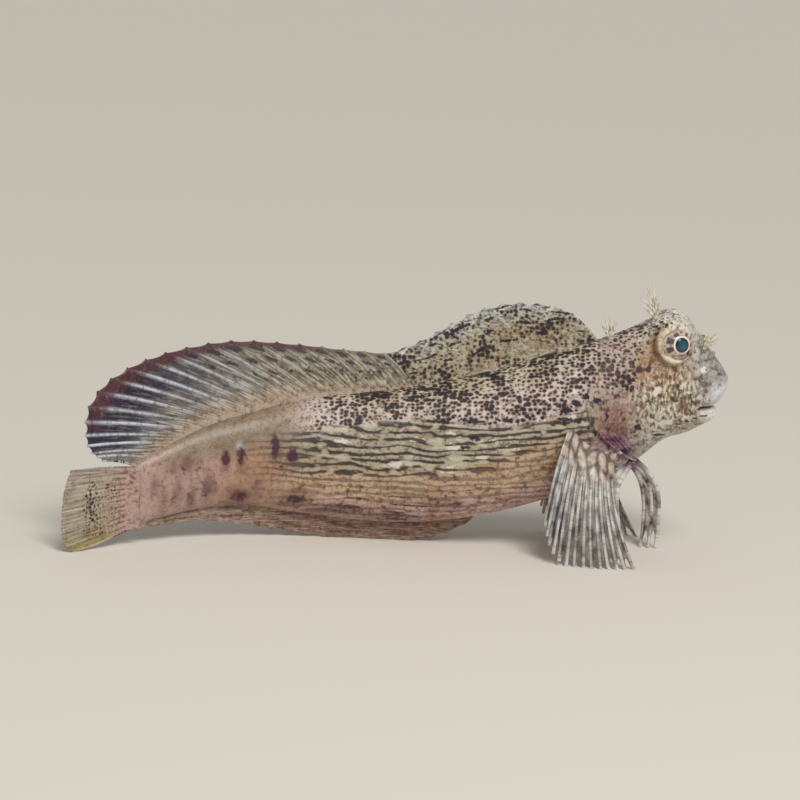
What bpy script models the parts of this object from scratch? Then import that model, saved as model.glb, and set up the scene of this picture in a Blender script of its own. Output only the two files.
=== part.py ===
"""A blenny at life size: a still model of a live fish propped on its fins, its body bent to the right."""
from math import pi, radians

import bmesh
import bpy
import numpy as np
from mathutils import Vector

# Every size is in millimetres, and the finished meshes are scaled to metres.
# The fish is shaped straight, as u back from the snout, n to its left and z above the floor, and bent last.
MM = 0.001
GAP = 0.3
TAU = 2 * pi

# The bend: which way the body heads, seen from above, at the head and at the tail.
HEAD_HEADING = radians(-9.0)
TAIL_HEADING = radians(38.0)
HEAD_BEND_END = 34.0
TAIL_BEND_START = 56.0
TAIL_BEND_END = 114.0

# Rings round the body: top u, z; bottom u, z; half width; sweep of the flanks back; fullness below.
BODY_RINGS = np.array([
    (4.7, 28.10, 4.7, 27.88, 3.7, 3.0, 0.0),
    (3.1, 28.32, 3.3, 27.74, 4.5, 3.4, 0.0),
    (2.2, 29.15, 2.8, 26.80, 5.0, 3.6, 0.0),
    (1.4, 30.80, 2.9, 25.40, 5.3, 3.7, 0.0),
    (1.0, 32.60, 4.1, 24.90, 5.6, 3.8, 0.0),
    (1.8, 34.40, 5.5, 24.70, 5.5, 3.9, 0.0),
    (3.0, 36.00, 7.1, 23.90, 5.8, 4.0, 0.05),
    (4.8, 38.20, 8.9, 22.90, 6.1, 4.2, 0.10),
    (6.4, 40.40, 10.7, 21.90, 6.3, 4.3, 0.15),
    (8.3, 42.00, 12.2, 20.80, 6.5, 4.5, 0.18),
    (10.5, 43.00, 13.4, 19.80, 6.7, 4.7, 0.20),
    (12.9, 43.30, 14.3, 18.90, 6.9, 5.0, 0.20),
    (15.2, 42.70, 15.1, 18.20, 7.1, 5.4, 0.18),
    (17.6, 41.40, 15.7, 17.60, 7.3, 5.8, 0.15),
    (20.4, 40.00, 16.1, 17.30, 7.6, 6.1, 0.10),
    (23.6, 38.70, 16.4, 17.00, 7.9, 6.3, 0.05),
    (26.0, 37.90, 18.6, 15.70, 7.8, 6.0, 0.05),
    (29.0, 36.90, 22.6, 13.40, 7.8, 5.0, 0.0),
    (32.7, 35.60, 28.0, 10.80, 7.9, 3.2, 0.0),
    (38.0, 33.60, 35.5, 7.90, 8.0, 1.4, 0.0),
    (44.4, 31.50, 43.7, 5.50, 7.9, 0.3, 0.0),
    (50.5, 29.80, 50.9, 4.20, 7.6, 0.0, 0.0),
    (57.0, 28.20, 58.1, 3.50, 7.1, 0.0, 0.0),
    (64.6, 26.90, 65.0, 3.50, 6.4, 0.0, 0.0),
    (72.3, 25.80, 72.3, 4.10, 5.6, 0.0, 0.0),
    (79.3, 24.60, 79.3, 4.90, 4.8, 0.0, 0.0),
    (85.8, 22.80, 86.6, 6.00, 4.0, 0.0, 0.0),
    (93.2, 20.90, 94.0, 5.70, 3.2, 0.0, 0.0),
    (99.0, 18.70, 100.0, 5.00, 2.6, 0.0, 0.0),
    (104.8, 16.00, 104.8, 4.20, 2.0, 0.0, 0.0),
    (108.3, 13.80, 108.3, 3.40, 1.5, 0.0, 0.0),
])
GILL_RING = 15
TAIL_RING = 24
LAST_RING = len(BODY_RINGS) - 1
SWEEP_SKEW = 1.3
FLANK_POWER = 0.88
BODY_SIDES = 28
HEAD_SIDES = 28
GILL_STEP = 0.45

# Eyes, seen from the side at u and z, and set n out from the midline.
EYE_U = 10.6
EYE_N = 4.3
EYE_Z = 39.0
EYE_RADIUS = 3.1
GAZE_FORWARD = radians(28.0)
GAZE_UP = radians(6.0)
RIM_RADIUS = 3.15
RIM_THICKNESS = 0.75
RIM_OUT = 1.45
RIM_FORWARD = radians(10.0)
RIM_UP = radians(10.0)
BROW_DOME = (11.8, 2.7, 40.4)
BROW_DOME_RADIUS = 3.9

# Nostrils: a front and a rear pit on each side of the snout.
NOSTRILS = ((4.4, 2.6, 36.6), (6.4, 3.2, 39.4))
NOSTRIL_RADIUS = 0.38
NOSTRIL_DEPTH = 1.6

# Fins: thickness of the membrane, of the fleshy root, and of the rays at their root and tip.
# A ray is a crest raised on both faces, as wide as this share of the space between two rays.
MEMBRANE = 0.5
FIN_ROOT = 1.2
RAY_ROOT = 1.15
RAY_TIP = 0.7
RAY_SHARE = 0.56
ROOT_FLESH = 0.12
ROOT_SUNK = 1.0

DORSAL_SPINES = 12
DORSAL_RAYS = 22
ANAL_RAYS = 20
CAUDAL_RAYS = 13
PECTORAL_RAYS = 14
PELVIC_RAYS = 3
DORSAL_SCALLOP = 0.05
ANAL_SCALLOP = 0.12
CAUDAL_SCALLOP = 0.03
PECTORAL_SCALLOP = 0.10
PELVIC_SCALLOP = 0.22

DORSAL_START = 24.2
DORSAL_SPLIT = 56.4
SPLIT_GAP = 0.45
DORSAL_END = 107.0
SPINY_EDGE = np.array([
    (29.4, 42.8), (32.4, 44.0), (36.5, 44.4), (41.5, 44.0),
    (46.5, 42.4), (52.0, 39.2), (57.0, 36.1), (62.1, 33.9),
])
SOFT_EDGE = np.array([
    (62.55, 33.9), (71.0, 34.4), (80.5, 35.2), (90.0, 35.6), (99.0, 34.6), (107.0, 32.8), (113.6, 30.0),
    (117.6, 26.2), (118.6, 21.6), (117.6, 17.8), (114.9, 15.7),
])
SOFT_CROWDING = 0.13

ANAL_START = 44.5
ANAL_END = 103.5
ANAL_EDGE = np.array([
    (46.6, 3.4), (50.0, 1.5), (55.0, 0.0), (61.0, -0.6),
    (68.5, -0.5), (77.0, 0.6), (87.0, 2.2), (97.0, 3.2), (107.3, 2.7),
])

CAUDAL_EDGE = np.array([(121.2, 14.4), (122.4, 10.6), (122.7, 6.0), (122.4, 2.2), (120.6, -0.4)])
CAUDAL_ROOT_THICKNESS = 2.2

PECTORAL_ROOT = np.array([(28.4, 6.2, 23.8), (26.6, 5.8, 21.4), (23.6, 5.0, 19.6), (20.2, 4.0, 18.6)])
PECTORAL_EDGE = np.array([
    (32.6, 12.0, 6.4), (31.2, 13.4, 2.4), (28.2, 14.2, -0.3), (24.6, 14.8, -0.6), (20.9, 14.8, -0.6),
    (17.8, 14.3, -0.5), (15.3, 13.4, -0.4),
])
PECTORAL_BOW = (0.6, 3.4, 3.4)
PECTORAL_FRONT_BOW = 4.0
PECTORAL_ROOT_THICKNESS = 1.7

# The two pelvic fins are swung differently: the right one back, the left one forward.
PELVIC_ROOT_WIDTH = 1.5
PELVIC_PATHS = {
    "right": np.array([
        (17.6, 1.7, 17.0), (19.7, 3.0, 14.3), (20.7, 3.8, 11.6), (20.2, 4.5, 6.4), (18.4, 5.0, -0.5),
    ]),
    "left": np.array([
        (17.6, 1.7, 17.0), (14.9, 2.9, 14.0), (13.5, 3.7, 10.8), (13.0, 4.3, 6.0), (13.3, 4.7, -0.5),
    ]),
}
PELVIC_WIDTH = 2.6

# Cirri: where each tuft stands and where its filaments end.
CIRRUS_ROOT_RADIUS = 0.32
CIRRUS_TIP_RADIUS = 0.13
BROW_CIRRUS = (
    (14.2, 3.2, 43.4),
    ((17.4, 4.0, 45.8), (16.3, 3.6, 47.6), (15.4, 3.1, 48.6), (13.8, 3.5, 46.3)),
)
NOSE_CIRRUS = (
    (5.6, 2.5, 38.6),
    ((4.6, 2.9, 40.9), (3.7, 2.6, 40.5), (3.2, 2.4, 39.6)),
)
NAPE_CIRRUS = (
    (22.1, 1.8, 38.9),
    ((24.0, 2.6, 41.2), (23.4, 2.2, 42.0), (22.6, 1.8, 42.3), (21.3, 2.0, 42.0)),
)

HEAD_FLESH = ("sandy_mottled_skin", (0.55, 0.46, 0.38), 0.5)
BODY_FLESH = ("pinkish_spotted_skin", (0.50, 0.38, 0.31), 0.5)
SPINY_FIN = ("greenish_fin_membrane", (0.42, 0.41, 0.28), 0.45)
CLEAR_FIN = ("clear_fin_membrane", (0.48, 0.44, 0.36), 0.4)
TAIL_FIN = ("olive_fin_membrane", (0.36, 0.32, 0.16), 0.45)
ROSE_FIN = ("rosy_fin_membrane", (0.42, 0.27, 0.22), 0.45)
EYE_BALL = ("eye", (0.02, 0.10, 0.12), 0.12)
CIRRUS_FLESH = ("pale_cirrus_skin", (0.62, 0.55, 0.42), 0.5)


def clear_scene():
    """Empties the file of objects and meshes."""
    for thing in list(bpy.data.objects):
        bpy.data.objects.remove(thing)
    for mesh in list(bpy.data.meshes):
        bpy.data.meshes.remove(mesh)


def make_collection(name):
    """Makes a collection in the scene."""
    collection = bpy.data.collections.new(name)
    bpy.context.scene.collection.children.link(collection)
    return collection


def finish_material(name, colour, roughness):
    """One Principled material of a plain colour."""
    material = bpy.data.materials.new(name)
    material.use_nodes = True
    shader = material.node_tree.nodes["Principled BSDF"]
    shader.inputs["Base Color"].default_value = (*colour, 1.0)
    shader.inputs["Roughness"].default_value = roughness
    return material


def spline(rows, s):
    """The point at s on a smooth curve through rows, where s counts rows."""
    rows = np.asarray(rows, float)
    last = len(rows) - 1
    s = min(max(float(s), 0.0), float(last))
    i = min(int(s), last - 1)
    t = s - i
    before = rows[i - 1] if i > 0 else 2 * rows[i] - rows[i + 1]
    after = rows[i + 2] if i + 2 <= last else 2 * rows[i + 1] - rows[i]
    slope_a = (rows[i + 1] - before) / 2
    slope_b = (after - rows[i]) / 2
    return ((2 * t**3 - 3 * t**2 + 1) * rows[i] + (t**3 - 2 * t**2 + t) * slope_a
            + (3 * t**2 - 2 * t**3) * rows[i + 1] + (t**3 - t**2) * slope_b)


def along(rows, a):
    """The point at the share a of the length of a smooth curve through rows."""
    steps = np.linspace(0, len(rows) - 1, 8 * len(rows))
    points = np.array([spline(rows, s) for s in steps])
    lengths = np.concatenate([[0], np.cumsum(np.linalg.norm(np.diff(points, axis=0), axis=1))])
    return spline(rows, np.interp(a * lengths[-1], lengths, steps))


def smooth_step(t):
    """Rises gently from 0 to 1."""
    t = np.clip(t, 0.0, 1.0)
    return t * t * (3 - 2 * t)


def heading(u):
    """The way the body heads at u, seen from above."""
    head = HEAD_HEADING * (1 - smooth_step(u / HEAD_BEND_END))
    tail = TAIL_HEADING * smooth_step((u - TAIL_BEND_START) / (TAIL_BEND_END - TAIL_BEND_START))
    return head + tail


BACKBONE_U = np.linspace(-12.0, 140.0, 1521)
BACKBONE_STEP = BACKBONE_U[1] - BACKBONE_U[0]
BACKBONE_HEADING = heading(BACKBONE_U)
BACKBONE_MID = (BACKBONE_HEADING[1:] + BACKBONE_HEADING[:-1]) / 2
BACKBONE_X = -np.concatenate([[0], np.cumsum(np.cos(BACKBONE_MID))]) * BACKBONE_STEP
BACKBONE_Y = -np.concatenate([[0], np.cumsum(np.sin(BACKBONE_MID))]) * BACKBONE_STEP


def bend(point):
    """Takes a point of the straight fish to its place on the bent one."""
    u, n, z = point
    turn = np.interp(u, BACKBONE_U, BACKBONE_HEADING)
    x = np.interp(u, BACKBONE_U, BACKBONE_X) - np.sin(turn) * n
    y = np.interp(u, BACKBONE_U, BACKBONE_Y) + np.cos(turn) * n
    return Vector((x, y, z))


def new_object(name, mesh, collection):
    """Links a mesh into the scene under a name."""
    thing = bpy.data.objects.new(name, mesh)
    collection.objects.link(thing)
    return thing


def settle(thing):
    """Applies an object's modifiers to its mesh."""
    bpy.context.view_layer.update()
    graph = bpy.context.evaluated_depsgraph_get()
    old = thing.data
    mesh = bpy.data.meshes.new_from_object(thing.evaluated_get(graph))
    thing.modifiers.clear()
    thing.data = mesh
    bpy.data.meshes.remove(old)


def combine(thing, other, operation):
    """Applies one Boolean of another object, and removes that object."""
    modifier = thing.modifiers.new(operation.lower(), "BOOLEAN")
    modifier.operation = operation
    modifier.object = other
    settle(thing)
    bpy.data.objects.remove(other)


def face_outward(form):
    """Turns the faces of one closed surface outward."""
    bmesh.ops.recalc_face_normals(form, faces=form.faces)
    if form.calc_volume(signed=True) < 0:
        bmesh.ops.reverse_faces(form, faces=form.faces)


def keep_largest(thing):
    """Keeps only the largest closed surface of a mesh."""
    form = bmesh.new()
    form.from_mesh(thing.data)
    bmesh.ops.remove_doubles(form, verts=form.verts, dist=0.0005)
    bmesh.ops.dissolve_degenerate(form, edges=form.edges, dist=0.0005)
    bmesh.ops.triangulate(form, faces=form.faces)
    form.verts.ensure_lookup_table()
    seen = set()
    groups = []
    for start in form.verts:
        if start in seen:
            continue
        group = {start}
        waiting = [start]
        while waiting:
            here = waiting.pop()
            for edge in here.link_edges:
                there = edge.other_vert(here)
                if there not in group:
                    group.add(there)
                    waiting.append(there)
        seen |= group
        groups.append(group)
    groups.sort(key=len)
    for group in groups[:-1]:
        bmesh.ops.delete(form, geom=list(group), context="VERTS")
    face_outward(form)
    form.to_mesh(thing.data)
    form.free()


def body_ring(s, sides, grow=0.0, tuck=0.0):
    """The points of one ring round the body, from the top down the left side and up the right."""
    top_u, top_z, low_u, low_z, half, sweep, fullness = spline(BODY_RINGS, s)
    top = np.array([top_u, top_z])
    low = np.array([low_u, low_z])
    upward = (top - low) / np.linalg.norm(top - low)
    top = top + upward * grow
    low = low - upward * grow
    turn = np.arange(sides) * TAU / sides
    share = (1 - np.cos(turn)) / 2
    u = top[0] + (low[0] - top[0]) * share + sweep * np.sin(pi * share**SWEEP_SKEW)
    z = top[1] + (low[1] - top[1]) * share
    side = np.sign(np.sin(turn)) * np.abs(np.sin(turn)) ** FLANK_POWER
    n = (half + grow - tuck) * side * (1 - fullness * np.cos(turn))
    return np.column_stack([u, n, z])


def shift_ring(ring, distance):
    """Moves a ring back along its own normal in the side view."""
    count = len(ring)
    moved = ring.copy()
    for i in range(count):
        before = ring[max(i - 1, 0)] if i <= count // 2 else ring[i - 1]
        after = ring[(i + 1) % count]
        if i == count // 2:
            after = ring[i]
        run = (after - before)[[0, 2]] * (1 if i <= count // 2 else -1)
        run = run / np.linalg.norm(run)
        moved[i, 0] -= run[1] * distance
        moved[i, 2] += run[0] * distance
    return moved


def loft(name, rings, collection):
    """Skins a row of like rings, and closes each end from flank to flank."""
    form = bmesh.new()
    loops = [[form.verts.new(point) for point in ring] for ring in rings]
    sides = len(rings[0])
    for near, far in zip(loops, loops[1:]):
        for i in range(sides):
            j = (i + 1) % sides
            form.faces.new((near[i], near[j], far[j], far[i]))
    for loop in (loops[0], loops[-1]):
        for i in range(sides // 2):
            corners = [loop[i], loop[i + 1], loop[-i - 1], loop[-i % sides]]
            unique = list(dict.fromkeys(corners))
            form.faces.new(unique)
    face_outward(form)
    mesh = bpy.data.meshes.new(name)
    form.to_mesh(mesh)
    form.free()
    return new_object(name, mesh, collection)


def ball(name, centre, radius, collection, facing=(0, 0, 1), segments=18, rings=10):
    """A sphere whose poles lie along facing."""
    form = bmesh.new()
    bmesh.ops.create_uvsphere(form, u_segments=segments, v_segments=rings, radius=radius)
    turn = Vector(facing).to_track_quat("Z", "Y").to_matrix()
    bmesh.ops.rotate(form, verts=form.verts, cent=(0, 0, 0), matrix=turn)
    bmesh.ops.translate(form, verts=form.verts, vec=centre)
    mesh = bpy.data.meshes.new(name)
    form.to_mesh(mesh)
    form.free()
    return new_object(name, mesh, collection)


def ring_tube(name, centre, facing, radius, thickness, collection):
    """A torus round the facing line."""
    bpy.ops.mesh.primitive_torus_add(
        major_radius=radius, minor_radius=thickness, major_segments=24, minor_segments=8,
        location=centre, rotation=Vector(facing).to_track_quat("Z", "Y").to_euler())
    made = bpy.context.object
    mesh = made.data.copy()
    mesh.transform(made.matrix_world)
    bpy.data.objects.remove(made)
    return new_object(name, mesh, collection)


def rod(start, end, start_radius, end_radius, collection, sides=6):
    """A tapered rod between two points."""
    run = Vector(end) - Vector(start)
    form = bmesh.new()
    bmesh.ops.create_cone(form, cap_ends=True, segments=sides, radius1=start_radius, radius2=end_radius,
                          depth=run.length)
    bmesh.ops.rotate(form, verts=form.verts, cent=(0, 0, 0), matrix=run.to_track_quat("Z", "Y").to_matrix())
    bmesh.ops.translate(form, verts=form.verts, vec=(Vector(start) + Vector(end)) / 2)
    mesh = bpy.data.meshes.new("rod")
    form.to_mesh(mesh)
    form.free()
    return new_object("rod", mesh, collection)


def body_part(name, first, last, steps, sides, collection, grow=0.0):
    """The stretch of the body between two rings."""
    stations = np.linspace(first, last, steps)
    return loft(name, [body_ring(s, sides, grow) for s in stations], collection)


def whole_body(grow, collection):
    """The whole body grown by a margin, to cut what grows from it."""
    return body_part("grown_body", 0, LAST_RING, 2 * LAST_RING + 1, BODY_SIDES, collection, grow)


def lateral(side, forward, up):
    """The way out of the head on one side, turned forward and up."""
    return Vector((-np.sin(forward), side * np.cos(forward) * np.cos(up), np.sin(up)))


def head_form(name, collection, grow=0.0):
    """The head with its brow domes and the rims round its eyes, before the sockets are cut."""
    head = body_part(name, 0, GILL_RING, 2 * GILL_RING + 1, HEAD_SIDES, collection, grow)
    for side in (1, -1):
        u, n, z = BROW_DOME
        dome = ball("dome", (u, side * n, z), BROW_DOME_RADIUS + grow, collection)
        combine(head, dome, "UNION")
        out = lateral(side, RIM_FORWARD, RIM_UP)
        centre = Vector((EYE_U, side * EYE_N, EYE_Z)) + out * RIM_OUT
        rim = ring_tube("rim", centre, out, RIM_RADIUS, RIM_THICKNESS + grow, collection)
        combine(head, rim, "UNION")
    return head


def make_head(parts, guides):
    """Head, with lips, mouth, nostrils and eye sockets."""
    head = head_form("head", parts)
    for side in (1, -1):
        socket = ball("socket", (EYE_U, side * EYE_N, EYE_Z), EYE_RADIUS + GAP, guides)
        combine(head, socket, "DIFFERENCE")
        for u, n, z in NOSTRILS:
            reach = Vector((-0.75, side * 0.55, 0.35)).normalized() * NOSTRIL_DEPTH
            centre = Vector((u, side * n, z))
            pit = rod(centre - reach, centre + reach, NOSTRIL_RADIUS, NOSTRIL_RADIUS, guides, sides=8)
            combine(head, pit, "DIFFERENCE")
    keep_largest(head)
    return head


def make_torso(parts):
    """Trunk, from behind the gill covers, which stand a little proud of it, to behind the vent."""
    first = shift_ring(body_ring(GILL_RING, BODY_SIDES, tuck=GILL_STEP), GAP)
    stations = np.linspace(GILL_RING + 0.5, TAIL_RING, 2 * (TAIL_RING - GILL_RING))
    rings = [first] + [body_ring(s, BODY_SIDES) for s in stations]
    return loft("torso", rings, parts)


def make_tail(parts):
    """Tail stalk, up to the root of the tail fin."""
    stations = np.linspace(TAIL_RING, LAST_RING, 13)
    rings = [body_ring(s, BODY_SIDES) for s in stations]
    rings[0] = rings[0] + np.array([GAP, 0.0, 0.0])
    return loft("tail", rings, parts)


def make_eye(side, name, parts):
    """Eyeball, turned forward and a little up."""
    facing = lateral(side, GAZE_FORWARD, GAZE_UP)
    return ball(name, (EYE_U, side * EYE_N, EYE_Z), EYE_RADIUS, parts, facing, segments=18, rings=11)


def ray_columns(rays):
    """Where each ray's crest and the membrane at its foot lie across a fin."""
    pitch = 1 / (rays - 1)
    columns = []
    for ray in range(rays):
        for step in (-RAY_SHARE / 2, 0.0, RAY_SHARE / 2):
            place = (ray + step) * pitch
            if 0.0 <= place <= 1.0:
                columns.append((place, step == 0.0))
    return columns


def ray_thickness(b, on_crest, root_thickness):
    """Thickness at b along a ray, on its crest or on the membrane."""
    flesh = 1 - smooth_step(b / ROOT_FLESH / 2)
    if on_crest:
        plain = RAY_ROOT + (RAY_TIP - RAY_ROOT) * b
    else:
        plain = MEMBRANE
    return plain + (max(root_thickness, plain) - plain) * flesh


def fin_sheet(name, rays, rows, surface, root_thickness, scallop, collection):
    """A fin: an open sheet swept by surface, thickened to both sides and more so along its rays.

    The membrane ends short of the ray tips by the share scallop.
    """
    columns = ray_columns(rays)
    form = bmesh.new()
    bmesh.ops.create_grid(form, x_segments=len(columns) - 1, y_segments=rows - 1, size=1.0)
    weights = form.verts.layers.deform.verify()
    thickest = max(root_thickness, RAY_ROOT)
    for vertex in form.verts:
        a, on_crest = columns[round((vertex.co.x + 1) / 2 * (len(columns) - 1))]
        b = (vertex.co.y + 1) / 2
        reach = b if on_crest else b - scallop * b**3
        vertex.co = surface(a, reach)
        vertex[weights][0] = ray_thickness(b, on_crest, root_thickness) / thickest
    bmesh.ops.triangulate(form, faces=form.faces)
    mesh = bpy.data.meshes.new(name)
    form.to_mesh(mesh)
    form.free()
    fin = new_object(name, mesh, collection)
    fin.vertex_groups.new(name="thickness")
    wall = fin.modifiers.new("wall", "SOLIDIFY")
    wall.thickness = thickest
    wall.offset = 0.0
    wall.vertex_group = "thickness"
    wall.thickness_vertex_group = 0.0
    settle(fin)
    return fin


def fan(root, edge, bow):
    """The surface swept by rays from a root curve to an edge curve, each bowed in the middle."""
    def surface(a, b):
        start = root(a)
        end = edge(a)
        middle = (start + end) / 2 + bow(a)
        return (1 - b) ** 2 * start + 2 * b * (1 - b) * middle + b * b * end
    return surface


def body_line(u, top):
    """The height of the back or the belly at u."""
    stations = np.linspace(GILL_RING, LAST_RING, 160)
    rings = np.array([spline(BODY_RINGS, s) for s in stations])
    if top:
        return np.interp(u, rings[:, 0], rings[:, 1])
    return np.interp(u, rings[:, 2], rings[:, 3])


def upright(point, n=0.0):
    """A point of the side view, set n to the left."""
    return np.array([point[0], n, point[1]])


def make_dorsal_fins(parts, guides):
    """Spiny and soft dorsal fin, each rooted along the back."""
    def spiny_root(a):
        u = DORSAL_START + (DORSAL_SPLIT - DORSAL_START) * a
        return np.array([u, 0.0, body_line(u, True) - ROOT_SUNK])

    def soft_root(a):
        u = DORSAL_SPLIT + SPLIT_GAP + (DORSAL_END - DORSAL_SPLIT - SPLIT_GAP) * a
        return np.array([u, 0.0, body_line(u, True) - ROOT_SUNK])

    def soft_edge(a):
        return upright(along(SOFT_EDGE, a + SOFT_CROWDING * np.sin(pi * a**1.6)))

    bow = np.array([-0.8, 0.0, 0.8])
    spiny = fan(spiny_root, lambda a: upright(along(SPINY_EDGE, a)), lambda a: bow * (0.5 + 0.5 * a))
    soft = fan(soft_root, soft_edge, lambda a: bow)
    front = fin_sheet("dorsal_fin_front", DORSAL_SPINES, 6, spiny, FIN_ROOT, DORSAL_SCALLOP, parts)
    rear = fin_sheet("dorsal_fin_rear", DORSAL_RAYS, 7, soft, FIN_ROOT, DORSAL_SCALLOP, parts)
    for fin in (front, rear):
        combine(fin, whole_body(GAP, guides), "DIFFERENCE")
        keep_largest(fin)
    return front, rear


def floor_block(guides):
    """A block under the floor, whose top cuts the fins flat where they stand."""
    form = bmesh.new()
    bmesh.ops.create_cube(form, size=1.0)
    bmesh.ops.scale(form, verts=form.verts, vec=(200.0, 80.0, 10.0))
    bmesh.ops.translate(form, verts=form.verts, vec=(60.0, 0.0, -5.0))
    mesh = bpy.data.meshes.new("floor_block")
    form.to_mesh(mesh)
    form.free()
    return new_object("floor_block", mesh, guides)


def make_anal_fin(parts, guides):
    """Anal fin, standing on the floor along its middle."""
    def root(a):
        u = ANAL_START + (ANAL_END - ANAL_START) * a
        return np.array([u, 0.0, body_line(u, False) + ROOT_SUNK])

    surface = fan(root, lambda a: upright(along(ANAL_EDGE, a)), lambda a: np.array([-0.5, 0.0, -0.3]))
    fin = fin_sheet("anal_fin", ANAL_RAYS, 4, surface, FIN_ROOT, ANAL_SCALLOP, parts)
    combine(fin, whole_body(GAP, guides), "DIFFERENCE")
    combine(fin, floor_block(guides), "DIFFERENCE")
    keep_largest(fin)
    return fin


def make_caudal_fin(parts, guides):
    """Tail fin, square-ended, its lower corner on the floor."""
    top_u, top_z, low_u, low_z = BODY_RINGS[-1][:4]

    def root(a):
        return np.array([top_u + (low_u - top_u) * a + GAP, 0.0, top_z + (low_z - top_z) * a])

    def bow(a):
        return np.array([0.0, 0.0, 0.5 - a])

    surface = fan(root, lambda a: upright(along(CAUDAL_EDGE, a)), bow)
    fin = fin_sheet("caudal_fin", CAUDAL_RAYS, 6, surface, CAUDAL_ROOT_THICKNESS, CAUDAL_SCALLOP, parts)
    combine(fin, floor_block(guides), "DIFFERENCE")
    keep_largest(fin)
    return fin


def make_pectoral_fin(side, name, parts, guides):
    """Pectoral fin, fanned out and down from the flank to the floor."""
    across = np.array([1.0, side, 1.0])

    def bow(a):
        return (np.array(PECTORAL_BOW) + np.array([PECTORAL_FRONT_BOW * a**3, 0.0, 0.0])) * across

    surface = fan(lambda a: along(PECTORAL_ROOT, a) * across, lambda a: along(PECTORAL_EDGE, a) * across, bow)
    fin = fin_sheet(name, PECTORAL_RAYS, 7, surface, PECTORAL_ROOT_THICKNESS, PECTORAL_SCALLOP, parts)
    combine(fin, whole_body(GAP, guides), "DIFFERENCE")
    combine(fin, floor_block(guides), "DIFFERENCE")
    keep_largest(fin)
    return fin


def make_pelvic_fin(side, name, path, parts, guides):
    """Pelvic fin, a narrow leg of three rays from the throat to the floor."""
    across = np.array([1.0, side, 1.0])

    def surface(a, b):
        middle = along(path, b)
        width = PELVIC_ROOT_WIDTH + (PELVIC_WIDTH - PELVIC_ROOT_WIDTH) * np.sin(pi * min(b, 0.5))
        return (middle + np.array([(a - 0.5) * width, 0.0, 0.0])) * across

    fin = fin_sheet(name, PELVIC_RAYS, 9, surface, FIN_ROOT, PELVIC_SCALLOP, parts)
    combine(fin, whole_body(GAP, guides), "DIFFERENCE")
    combine(fin, floor_block(guides), "DIFFERENCE")
    keep_largest(fin)
    return fin


def make_cirrus(side, name, tuft, parts, guides):
    """A tuft of fleshy filaments on one side of the head."""
    (u, n, z), tips = tuft
    root = Vector((u, side * n, z))
    cirrus = ball(name, root, 2.2 * CIRRUS_ROOT_RADIUS, parts, segments=10, rings=6)
    for tip in tips:
        end = Vector((tip[0], side * tip[1], tip[2]))
        filament = rod(root, end, CIRRUS_ROOT_RADIUS, CIRRUS_TIP_RADIUS, guides)
        combine(cirrus, filament, "UNION")
    combine(cirrus, head_form("grown_head", guides, GAP), "DIFFERENCE")
    keep_largest(cirrus)
    return cirrus


def give_finish(thing, finish, materials):
    """Gives an object its material, bends it and scales it to metres."""
    name, colour, roughness = finish
    if name not in materials:
        materials[name] = finish_material(name, colour, roughness)
    form = bmesh.new()
    form.from_mesh(thing.data)
    bmesh.ops.triangulate(form, faces=form.faces)
    for vertex in form.verts:
        vertex.co = bend(vertex.co) * MM
    face_outward(form)
    form.to_mesh(thing.data)
    form.free()
    thing.data.materials.clear()
    thing.data.materials.append(materials[name])
    thing.data.shade_smooth()
    thing.data.set_sharp_from_angle(angle=radians(35.0))


def centre_on_origin(things):
    """Sets the middle of the fish's box, at floor level, on the origin."""
    corners = np.array([vertex.co[:] for thing in things for vertex in thing.data.vertices])
    low = corners.min(axis=0)
    high = corners.max(axis=0)
    shift = Vector((-(low[0] + high[0]) / 2, -(low[1] + high[1]) / 2, -low[2]))
    for thing in things:
        thing.location = shift


def main():
    """Builds the fish."""
    clear_scene()
    parts = make_collection("blenny")
    guides = make_collection("cutters")
    materials = {}
    made = [(make_head(parts, guides), HEAD_FLESH)]
    made += [(make_torso(parts), BODY_FLESH), (make_tail(parts), BODY_FLESH)]
    front, rear = make_dorsal_fins(parts, guides)
    made += [(front, SPINY_FIN), (rear, CLEAR_FIN)]
    made += [(make_anal_fin(parts, guides), ROSE_FIN), (make_caudal_fin(parts, guides), TAIL_FIN)]
    for side, word in ((1, "left"), (-1, "right")):
        made.append((make_eye(side, "eye_" + word, parts), EYE_BALL))
        made.append((make_pectoral_fin(side, "pectoral_fin_" + word, parts, guides), CLEAR_FIN))
        pelvic = make_pelvic_fin(side, "pelvic_fin_" + word, PELVIC_PATHS[word], parts, guides)
        made.append((pelvic, CLEAR_FIN))
        for place, tuft in (("brow", BROW_CIRRUS), ("nose", NOSE_CIRRUS), ("nape", NAPE_CIRRUS)):
            name = place + "_cirrus_" + word
            made.append((make_cirrus(side, name, tuft, parts, guides), CIRRUS_FLESH))
    for thing, finish in made:
        give_finish(thing, finish, materials)
    centre_on_origin([thing for thing, finish in made])


main()
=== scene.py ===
"""Dresses a blenny: one skin over head, trunk and tail, glossy eyes, rayed fins and fine skin tufts."""
from math import pi, radians
from typing import NamedTuple

import bmesh
import bpy
import numpy as np
from mathutils import Matrix, Vector


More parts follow.
